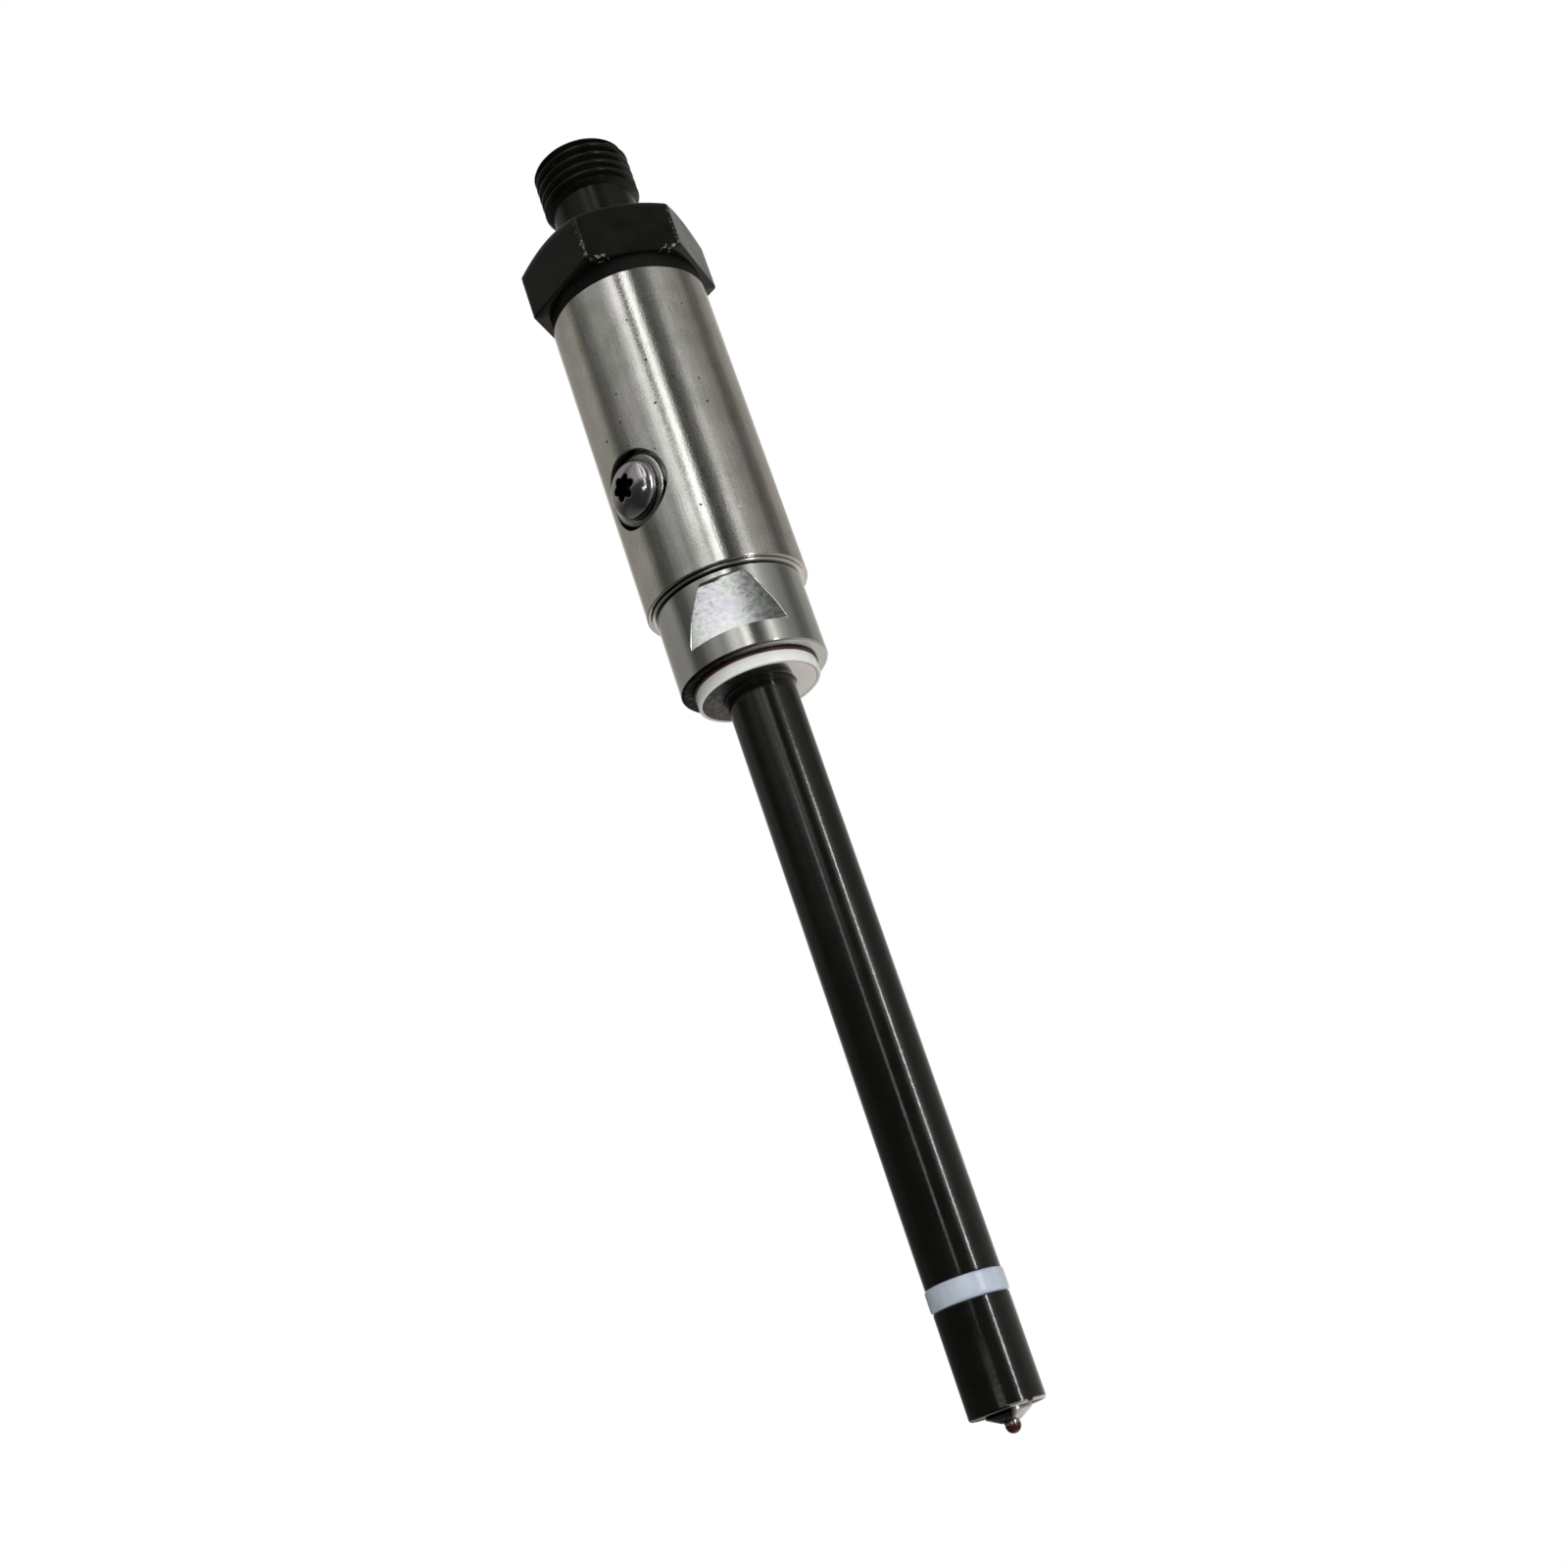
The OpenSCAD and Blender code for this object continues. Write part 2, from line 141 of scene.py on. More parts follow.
def softened(points, steps=4):
    """A profile of (r, z) or (r, z, fillet radius) corners, with each filleted corner turned into an arc."""
    out = []
    count = len(points)
    for i, point in enumerate(points):
        fillet = point[2] if len(point) > 2 else 0
        here = Vector(point[:2])
        if not fillet:
            out.append(tuple(here))
            continue
        back = (Vector(points[i - 1][:2]) - here).normalized()
        ahead = (Vector(points[(i + 1) % count][:2]) - here).normalized()
        half = back.angle(ahead) / 2
        run = fillet / tan(half)
        centre = here + (back + ahead).normalized() * (fillet / sin(half))
        first = here + back * run - centre
        last = here + ahead * run - centre
        sweep = first.angle_signed(last)
        for k in range(steps + 1):
            spoke = first.copy()
            spoke.rotate(Matrix.Rotation(-sweep * k / steps, 2))
            out.append(tuple(centre + spoke))
    return out


def at(r, angle, z):
    """The point at a distance from the axis, an angle about it and a height."""
    return (r * cos(angle), r * sin(angle), z)


def circle(r, z, count):
    """A ring of points in millimetres."""
    return [at(r, TURN * k / count, z) for k in range(count)]


def skin(rings, closed=False):
    """A bmesh over rings of equal count. closed joins the last ring to the first."""
    mesh = bmesh.new()
    count = len(rings[0])
    rows = [[mesh.verts.new(Vector(p) * MM) for p in ring] for ring in rings]
    pairs = list(zip(rows, rows[1:])) + ([(rows[-1], rows[0])] if closed else [])
    for near, far in pairs:
        for k in range(count):
            n = (k + 1) % count
            mesh.faces.new((near[k], near[n], far[n], far[k]))
    return mesh


def plain(name, mesh):
    """Turns a bmesh into a mesh and frees it."""
    data = bpy.data.meshes.new(name)
    mesh.to_mesh(data)
    mesh.free()
    return data


def placed(name, data):
    """A new object of the scene, at the origin."""
    obj = bpy.data.objects.new(name, data)
    bpy.context.scene.collection.objects.link(obj)
    return obj


def piece(name, mesh, place=None, sharp=38, weld=2e-7, bevel=None):
    """A finished object from a bmesh: welded, facing outward, smooth, with its place in its mesh."""
    if place is not None:
        mesh.transform(place)
    bmesh.ops.remove_doubles(mesh, verts=mesh.verts, dist=weld)
    bmesh.ops.recalc_face_normals(mesh, faces=mesh.faces)
    data = plain(name, mesh)
    obj = placed(name, data)
    data.shade_smooth()
    data.set_sharp_from_angle(angle=radians(sharp))
    if bevel:
        edge = obj.modifiers.new("edge", "BEVEL")
        edge.width = bevel * MM
        edge.segments = 2
        edge.limit_method = "ANGLE"
        edge.angle_limit = radians(28)
    even = obj.modifiers.new("even", "WEIGHTED_NORMAL")
    even.keep_sharp = True
    even.weight = 50
    return settled(obj)


def settled(obj):
    """Turns an object's modifiers into plain mesh."""
    depsgraph = bpy.context.evaluated_depsgraph_get()
    baked = bpy.data.meshes.new_from_object(obj.evaluated_get(depsgraph), depsgraph=depsgraph)
    baked.name = obj.name
    obj.modifiers.clear()
    obj.data = baked
    return obj


def turned(name, profile, count=192, place=None, **finish):
    """A closed lathe piece from a closed profile of (r, z) points."""
    rings = [circle(r, z, count) for r, z in profile]
    return piece(name, skin(rings, closed=True), place, **finish)


def reach(p):
    """How far a point is from the injector's axis."""
    return hypot(p.x, p.y)


def bearing(p):
    """A point's angle from the front of the injector round to its right, in degrees."""
    return degrees(atan2(p.x, -p.y))


def mark(obj, name, rule):
    """Stores a 0 to 1 value at each vertex, from a rule that takes its place in millimetres."""
    field = obj.data.attributes.new(name, "FLOAT", "POINT")
    field.data.foreach_set("value", [rule(v.co / MM) for v in obj.data.vertices])


# --- node tools

class Value:
    """A node's output. A sum written with it adds the math nodes that work it out."""

    def __init__(self, nodes, socket):
        self.nodes = nodes
        self.socket = socket

    def __add__(self, other):
        return self.nodes.math("ADD", self, other)

    def __sub__(self, other):
        return self.nodes.math("SUBTRACT", self, other)

    def __rsub__(self, other):
        return self.nodes.math("SUBTRACT", other, self)

    def __mul__(self, other):
        return self.nodes.math("MULTIPLY", self, other)

    def __truediv__(self, other):
        return self.nodes.math("DIVIDE", self, other)


class Nodes:
    """Builds one node tree: a shader or geometry group, or a material's own tree."""

    def __init__(self, tree):
        self.tree = tree

    @classmethod
    def effect(cls, name, takes, gives):
        """A shader group, from the default values of its inputs and the kinds of its outputs."""
        made = cls(bpy.data.node_groups.new(name, "ShaderNodeTree"))
        made.declare(takes)
        for key, kind in gives.items():
            made.tree.interface.new_socket(key, in_out="OUTPUT", socket_type="NodeSocket" + kind)
        return made

    @classmethod
    def shape(cls, name, takes):
        """A geometry group that takes and gives geometry and sets its material."""
        made = cls(bpy.data.node_groups.new(name, "GeometryNodeTree"))
        made.tree.interface.new_socket("Geometry", in_out="INPUT", socket_type="NodeSocketGeometry")
        made.declare(takes)
        made.tree.interface.new_socket("Finish", in_out="INPUT", socket_type="NodeSocketMaterial")
        made.tree.interface.new_socket("Geometry", in_out="OUTPUT", socket_type="NodeSocketGeometry")
        return made

    def declare(self, takes):
        kinds = {float: "NodeSocketFloat", int: "NodeSocketInt", tuple: "NodeSocketColor"}
        for key, value in takes.items():
            socket = self.tree.interface.new_socket(key, in_out="INPUT", socket_type=kinds[type(value)])
            socket.default_value = value

    def add(self, kind, inputs=None, **settings):
        node = self.tree.nodes.new(kind)
        for key, value in settings.items():
            setattr(node, key, value)
        self.feed(node, inputs or {})
        return node

    def feed(self, node, inputs):
        for key, value in inputs.items():
            self.put(node.inputs[key], value)

    def put(self, socket, value):
        if isinstance(value, Value):
            value = value.socket
        if isinstance(value, bpy.types.NodeSocket):
            self.tree.links.new(value, socket)
        else:
            socket.default_value = value

    def read(self, node):
        """A node's outputs by name, ready for sums."""
        return {socket.name: Value(self, socket) for socket in node.outputs}

    def ends(self):
        """The group's own inputs."""
        return self.read(self.add("NodeGroupInput"))

    def give(self, values):
        """Joins the group's outputs up and hands over its tree."""
        self.add("NodeGroupOutput", values)
        return self.tree

    def give_shape(self, geometry, finish):
        real = self.add("GeometryNodeRealizeInstances", {"Geometry": geometry})
        done = self.add("GeometryNodeSetMaterial", {"Geometry": real.outputs[0], "Material": finish})
        return self.give({"Geometry": done.outputs[0]})

    def math(self, operation, *values, clamp=False):
        node = self.add("ShaderNodeMath", dict(enumerate(values)), operation=operation, use_clamp=clamp)
        return Value(self, node.outputs[0])

    def vector(self, operation, first, second):
        return self.add("ShaderNodeVectorMath", {0: first, 1: second}, operation=operation).outputs[0]

    def xyz(self, **parts):
        return self.add("ShaderNodeCombineXYZ", parts).outputs[0]

    def round_axis(self, far, turn, height):
        """A place at a distance from the axis, a turn about it and a height."""
        return self.xyz(X=far * self.math("COSINE", turn), Y=far * self.math("SINE", turn), Z=height)

    def split(self, vector):
        return self.read(self.add("ShaderNodeSeparateXYZ", {0: vector}))

    def place(self):
        return self.add("ShaderNodeTexCoord").outputs["Object"]

    def stored(self, name):
        return Value(self, self.add("ShaderNodeAttribute", attribute_name=name).outputs["Fac"])

    def remap(self, value, start, end, to_start=0.0, to_end=1.0, **settings):
        node = self.add(
            "ShaderNodeMapRange",
            {"Value": value, "From Min": start, "From Max": end, "To Min": to_start, "To Max": to_end},
            **settings)
        return Value(self, node.outputs["Result"])

    def blend(self, share, first, second, way="MIX"):
        """Mixes two colours."""
        return self.add(
            "ShaderNodeMix", {0: share, 6: first, 7: second}, data_type="RGBA", blend_type=way).outputs[2]

    def between(self, share, first, second):
        """Mixes two numbers."""
        return self.add("ShaderNodeMix", {0: share, 2: first, 3: second}, data_type="FLOAT").outputs[0]

    def scaled(self, colour, factor):
        return self.add("ShaderNodeVectorMath", {0: colour, "Scale": factor}, operation="SCALE").outputs[0]

    def noise(self, vector, scale, detail=3.0, roughness=0.6):
        node = self.add("ShaderNodeTexNoise", {
            "Vector": vector, "Scale": scale, "Detail": detail, "Roughness": roughness})
        return node.outputs["Fac"]


# --- shared effects

def grain_group():
    """Tool marks. Lines run round or along the axis by their two scales, Rings lie round it on turned faces,
    Fine is an even satin grain and Blotches are large soft patches."""
    g = Nodes.effect(
        "tool marks", {"Around": 60.0, "Along": 3000.0, "Grain": 2600.0, "Blotch": 120.0},
        dict.fromkeys(("Lines", "Rings", "Fine", "Blotches"), "Float"))
    ends = g.ends()
    place = g.place()
    stretched = g.vector("MULTIPLY", place, g.xyz(X=ends["Around"], Y=ends["Around"], Z=ends["Along"]))
    flat = g.vector("MULTIPLY", place, (1, 1, 0))
    far = g.add("ShaderNodeVectorMath", {0: flat}, operation="LENGTH").outputs["Value"]
    return g.give({
        "Lines": g.noise(stretched, 1.0), "Rings": g.noise(g.xyz(X=far), 6000.0),
        "Fine": g.noise(place, ends["Grain"]), "Blotches": g.noise(place, ends["Blotch"], roughness=0.55)})


def specks_group():
    """Small scattered dots: a mask that is 1 in each dot. Share is how many cells have one."""
    g = Nodes.effect("specks", {"Scale": 1200.0, "Size": 0.25, "Share": 0.1}, {"Mask": "Float"})
    ends = g.ends()
    cells = g.add("ShaderNodeTexVoronoi", {"Vector": g.place(), "Scale": ends["Scale"]}).outputs
    pick = g.read(g.add("ShaderNodeSeparateColor", {"Color": cells["Color"]}))
    chosen = g.math("LESS_THAN", pick["Red"], ends["Share"])
    inside = g.math("LESS_THAN", cells["Distance"], pick["Green"] * ends["Size"])
    return g.give({"Mask": chosen * inside})


def wear_group():
    """Bare metal where an edge is rubbed: the stored edge value, broken up by noise."""
    g = Nodes.effect("edge wear", {"Scale": 900.0, "Amount": 0.5}, {"Mask": "Float"})
    ends = g.ends()
    start = 1.0 - ends["Amount"]
    broken = g.remap(g.noise(g.place(), ends["Scale"]), start, start + 0.06)
    return g.give({"Mask": g.math("MULTIPLY", g.stored("edge"), broken, clamp=True)})


def painted_shade_group():
    """Painted shade: darkens the colour and dulls the metal where the recess mask is stored, a little
    unevenly.
    """
    g = Nodes.effect(
        "dirt in recesses",
        {"Clean": (0.8, 0.8, 0.8, 1), "Gloss": 0.2, "Dirt": (0.006, 0.006, 0.006, 1), "Scale": 900.0},
        {"Color": "Color", "Roughness": "Float"})
    ends = g.ends()
    uneven = g.remap(g.noise(g.place(), ends["Scale"]), 0.25, 0.75, 0.85, 1.15)
    share = g.math("MULTIPLY", g.stored("recess"), uneven, clamp=True)
    return g.give({
        "Color": g.blend(share, ends["Clean"], ends["Dirt"]),
        "Roughness": g.math("MULTIPLY_ADD", share, 0.45, ends["Gloss"], clamp=True)})


GRAIN = grain_group()
SPECKS = specks_group()
WEAR = wear_group()
PAINTED_SHADE = painted_shade_group()

# Depth of the finest marks in millimetres, then how strongly the bump makes the milled flats look crowned, in
# bump units for each square metre, and how far to the right of the middle the crown lies, in metres
BUMP_DEPTH = 0.01
FLAT_CROWN = 1.15e6
CROWN_SHIFT = 0.0013


def material(name):
    """An empty material, its node helper and its Principled shader."""
    made = bpy.data.materials.new(name)
    made.use_nodes = True
    return made, Nodes(made.node_tree), made.node_tree.nodes["Principled BSDF"]


def use(nodes, tree, **values):
    """Places a shared effect in a material with its own values, and gives its outputs."""
    return nodes.read(nodes.add("ShaderNodeGroup", values, node_tree=tree))


def through_painted_shade(nodes, shader, colour, gloss, **painted_shade):
    """Feeds a colour and a roughness to the shader through the painted shade of the recess mask."""
    made = use(nodes, PAINTED_SHADE, Clean=colour, Gloss=gloss, **painted_shade)
    nodes.feed(shader, {"Base Color": made["Color"], "Roughness": made["Roughness"]})


def bumped(nodes, shader, height, strength=1.0):
    """Feeds a height into the shader's normal."""
    bump = nodes.add("ShaderNodeBump", {"Height": height, "Strength": strength, "Distance": BUMP_DEPTH * MM})
    nodes.feed(shader, {"Normal": bump.outputs["Normal"]})


def bright_metal(name, colour, shade, rough, around=900.0, along=60.0, grain=2600.0, blotch=120.0,
                 satin=0.5, lines=0.3, rings=0.0, pits=0.006, reflected_hue=0.0, mottle=0.06):
    """Machined metal. satin, lines and rings are the depths of its marks, pits is the share of small holes,
    reflected_hue is how far its glancing colour drifts from mauve to olive, a painted reflection of coloured
    surroundings, and mottle is how far its grain shows."""
    made, nodes, shader = material(name)
    marks = use(nodes, GRAIN, Around=around, Along=along, Grain=grain, Blotch=blotch)
    holes = use(nodes, SPECKS, Scale=1500.0, Size=0.34, Share=pits)["Mask"]
    bumps = use(nodes, SPECKS, Scale=1100.0, Size=0.26, Share=0.5 * pits)["Mask"]
    base = nodes.blend(nodes.remap(marks["Blotches"], 0.3, 0.7), (*colour, 1), (*shade, 1))
    # Painted reflection: towards the silhouette the colour takes a mauve or olive tint, standing in for
    # coloured surroundings seen in the metal.
    mauve, olive = (1.06, 0.95, 0.95, 1), (0.99, 1.0, 0.86, 1)
    reflected_tint = nodes.blend(nodes.remap(marks["Blotches"], 0.42, 0.58), mauve, olive)
    facing = nodes.add("ShaderNodeLayerWeight", {"Blend": 0.5}).outputs["Facing"]
    tinted = nodes.blend(nodes.remap(facing, 0.12, 0.5, 0.0, reflected_hue), base, reflected_tint, "MULTIPLY")
    speckle = nodes.remap(marks["Fine"] + marks["Lines"] * 0.6, 0.5, 1.1, 1 - mottle, 1 + mottle)
    # The pits are coloured dark, painted shade inside them, and the raised specks near white, painted glints;
    # both are also bumped into the surface.
    pits_painted_dark = nodes.blend(holes, nodes.scaled(tinted, speckle), (*(0.12 * c for c in colour), 1))
    specks_painted_bright = nodes.blend(bumps, pits_painted_dark, (0.8, 0.8, 0.78, 1))
    through_painted_shade(nodes, shader, specks_painted_bright, nodes.remap(marks["Fine"], 0.3, 0.7, rough * 0.75, rough * 1.3))
    nodes.feed(shader, {"Metallic": 1.0})
    height = marks["Fine"] * satin + marks["Lines"] * lines + marks["Rings"] * rings
    bumped(nodes, shader, height + (bumps - holes) * 3.0)
    return made


def black_oxide(name, tint, rough, wear, chip, satin=0.4, specular=0.5):
    """Blackened steel: nearly black, unevenly glossy, a little dusty and bright on its rubbed edges; on the
    stem's end the bright edge is also a painted highlight.
    """
    made, nodes, shader = material(name)
    marks = use(nodes, GRAIN, Around=700.0, Along=120.0, Grain=1800.0, Blotch=260.0)
    rubbed = use(nodes, WEAR, Scale=chip, Amount=wear)["Mask"]
    dust = use(nodes, SPECKS, Scale=900.0, Size=0.12, Share=0.012)["Mask"]
    brown = (1.9 * tint[0], 1.6 * tint[1], 1.5 * tint[2], 1)
    base = nodes.blend(nodes.remap(marks["Blotches"], 0.35, 0.7), (*tint, 1), brown)
    dusty = nodes.blend(dust, base, (0.05, 0.05, 0.045, 1))
    worn_and_lit = nodes.blend(rubbed, dusty, (0.62, 0.61, 0.58, 1))
    gloss = nodes.remap(marks["Blotches"], 0.3, 0.7, rough * 0.8, rough * 1.3)
    through_painted_shade(nodes, shader, worn_and_lit, gloss, Dirt=(0.002, 0.002, 0.0016, 1))
    nodes.feed(shader, {"Metallic": rubbed, "Specular IOR Level": specular})
    bumped(nodes, shader, marks["Fine"] * satin + marks["Lines"] * (0.5 * satin))
    return made


def milled_steel(name):
    """The nut's steel. Its two milled flats, stored as milled, are frosty, with a faint sheen and crown."""
    made, nodes, shader = material(name)
    marks = use(nodes, GRAIN, Around=2200.0, Along=150.0, Grain=3200.0, Blotch=120.0)
    frost = use(nodes, GRAIN, Around=260.0, Along=2000.0, Grain=1500.0, Blotch=260.0)
    rust = use(nodes, SPECKS, Scale=1700.0, Size=0.4, Share=0.3)["Mask"]
    milled = nodes.stored("milled")
    tone = nodes.remap(marks["Blotches"], 0.3, 0.7)
    turned_colour = nodes.blend(tone, (0.51, 0.515, 0.5, 1), (0.455, 0.465, 0.44, 1))
    sheen = nodes.blend(
        nodes.remap(frost["Blotches"], 0.4, 0.6), (0.65, 0.64, 0.69, 1), (0.63, 0.675, 0.625, 1))
    streaked = nodes.blend(nodes.remap(frost["Lines"], 0.45, 0.65, 0.0, 0.4), sheen, (0.72, 0.72, 0.74, 1))
    speckled = nodes.blend(rust * 0.5, streaked, (0.36, 0.31, 0.25, 1))
    frosted = nodes.scaled(speckled, nodes.remap(frost["Fine"], 0.35, 0.65, 0.78, 1.08))
    smooth = nodes.remap(marks["Fine"], 0.3, 0.7, 0.12, 0.2)
    rough = nodes.remap(frost["Fine"], 0.3, 0.7, 0.19, 0.26)
    through_painted_shade(nodes, shader, nodes.blend(milled, turned_colour, frosted), nodes.between(milled, smooth, rough))
    nodes.feed(shader, {"Metallic": 1.0})
    across = nodes.split(nodes.place())["X"] - CROWN_SHIFT
    satin = marks["Fine"] * 0.7 + marks["Lines"] * 0.5
    frosty = frost["Fine"] * 0.4 + frost["Lines"] * 0.5 - across * across * FLAT_CROWN
    bumped(nodes, shader, nodes.between(milled, satin, frosty))
    return made


def plastic(name, colour, shade, rough, subsurface=0.0):
    """Moulded or turned plastic and rubber: a soft tone change and a fine surface."""
    made, nodes, shader = material(name)
    marks = use(nodes, GRAIN, Around=200.0, Along=2500.0, Grain=2000.0, Blotch=300.0)
    tone = nodes.remap(marks["Blotches"], 0.3, 0.7)
    nodes.feed(shader, {
        "Base Color": nodes.blend(tone, (*colour, 1), (*shade, 1)),
        "Roughness": nodes.remap(tone, 0, 1, rough * 0.85, rough * 1.15), "Subsurface Weight": subsurface,
        "Subsurface Radius": (0.0006, 0.0006, 0.0006), "Subsurface Scale": 1.0})
    bumped(nodes, shader, marks["Fine"], 0.15)
    return made


BARREL_STEEL = bright_metal(
    "barrel steel", (0.54, 0.545, 0.53), (0.43, 0.445, 0.42), 0.115, around=2600.0, along=240.0,
    grain=3600.0, blotch=230.0, satin=1.1, lines=0.6, pits=0.04, reflected_hue=0.8, mottle=0.2)
NUT_STEEL = milled_steel("nut steel")
BRIGHT_STEEL = bright_metal("bright steel", (0.62, 0.62, 0.6), (0.54, 0.54, 0.52), 0.18)
SCREW_STEEL = bright_metal("screw steel", (0.46, 0.45, 0.46), (0.4, 0.39, 0.41), 0.16, satin=0.5, lines=0.2)
GROUND_STEEL = bright_metal(
    "ground steel", (0.5, 0.5, 0.49), (0.44, 0.44, 0.43), 0.22, around=60.0, along=3000.0)
WASHER_METAL = bright_metal(
    "washer metal", (0.56, 0.56, 0.54), (0.54, 0.51, 0.51), 0.18, satin=0.8, rings=0.3)
SPRING_STEEL = bright_metal("spring steel", (0.2, 0.2, 0.2), (0.14, 0.14, 0.15), 0.32)
COPPER = bright_metal("annealed copper", (0.72, 0.4, 0.27), (0.6, 0.3, 0.2), 0.35, rings=0.8)
FILTER_BRASS = bright_metal("filter brass", (0.66, 0.57, 0.34), (0.55, 0.46, 0.27), 0.38)
FITTING_BLACK = black_oxide("fitting black", (0.0038, 0.0041, 0.003), 0.22, 0.47, 1700.0, specular=0.2)
STEM_BLACK = black_oxide("stem black", (0.0032, 0.0034, 0.0025), 0.12, 0.6, 500.0, satin=0.9, specular=0.45)
WHITE_SEAL = plastic("white seal", (0.86, 0.875, 0.86), (0.8, 0.82, 0.8), 0.35, 0.1)
DAM_PLASTIC = plastic("dam plastic", (0.42, 0.475, 0.59), (0.54, 0.61, 0.69), 0.28, 0.15)
RED_SEAL = plastic("red seal", (0.05, 0.01, 0.009), (0.028, 0.008, 0.007), 0.4)


def dress(obj, finish):
    obj.data.materials.clear()
    obj.data.materials.append(finish)


def finish_piece(obj, finish, body, slot, *nodes):
    """Gives a piece its material and its body, and hides the CAD nodes that it stands for. slot is not used.
    """
    dress(obj, finish)
    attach(obj, body)
    if nodes:
        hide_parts(*nodes)


# --- inlet fitting

def thread_tree():
    """The outside of a threaded shaft: a wrapped grid whose ridge climbs one pitch a turn, chamfered."""
    g = Nodes.shape("cut thread", {
        "Radius": 0.007, "Depth": 0.0009, "Pitch": 0.0015, "Length": 0.008, "Start": 0.08,
        "Low Radius": 0.006, "High Radius": 0.0063, "Columns": 360, "Rows": 80})
    ends = g.ends()
    grid = g.add("GeometryNodeMeshGrid", {
        "Size X": 1.0, "Size Y": 1.0, "Vertices X": ends["Columns"] + 1.0, "Vertices Y": ends["Rows"]})
    spot = g.split(g.add("GeometryNodeInputPosition").outputs[0])
    across = spot["X"] + 0.5
    climb = (spot["Y"] + 0.5) * ends["Length"]
    phase = g.math("FRACT", climb / ends["Pitch"] - across)
    ridge = 1.0 - g.math("ABSOLUTE", phase * 2.0 - 1.0)
    crest = g.remap(ridge, 0.12, 0.86, interpolation_type="SMOOTHSTEP")
    cut = ends["Radius"] - ends["Depth"] + crest * ends["Depth"]
    low_limit = ends["Low Radius"] + climb * 1.2
    high_limit = ends["High Radius"] + (ends["Length"] - climb)
    far = g.math("MINIMUM", g.math("MINIMUM", cut, low_limit), high_limit)
    place = g.round_axis(far, across * TURN, climb + ends["Start"])
    shaped = g.add("GeometryNodeSetPosition", {"Geometry": grid.outputs["Mesh"], "Position": place})
    closed = g.add("GeometryNodeMergeByDistance", {"Geometry": shaped.outputs[0], "Distance": 1e-7})
    return g.give_shape(closed.outputs[0], ends["Finish"])


def drive(obj, tree, **values):
    """Sets a geometry tree's named inputs, runs it on an object and keeps the result as plain mesh."""
    modifier = obj.modifiers.new("shape", "NODES")
    modifier.node_group = tree
    for item in tree.interface.items_tree:
        key = item.name.replace(" ", "_")
        if item.item_type == "SOCKET" and item.in_out == "INPUT" and key in values:
            modifier[item.identifier] = values[key]
    return settled(obj)


def grown(name, tree, **values):
    """A mesh object made by a geometry tree alone."""
    return drive(placed(name, bpy.data.meshes.new(name)), tree, **values)


def hex_ring(inset, height):
    """A ring of 360 points round the hexagon, with points where each side meets its turned corners.

    height takes the distance from the axis at each point."""
    side = degrees(acos(HEX_APOTHEM / HEX_CORNER_R))
    on_side = 28
    ring = []
    first = round(degrees(HEX_TURN)) - 90
    for k in range(360):
        place = (k - first + 30) % 60 - 30
        middle = (k - first - place) + degrees(HEX_TURN) - 90
        share = abs(place)
        across = share * side / on_side if share <= on_side else side + (share - on_side) * (30 - side) / 2
        angle = radians(middle + copysign(across, place))
        far = min(HEX_APOTHEM / cos(radians(across)), HEX_CORNER_R)
        ring.append(at(far - inset, angle, height(far)))
    return ring


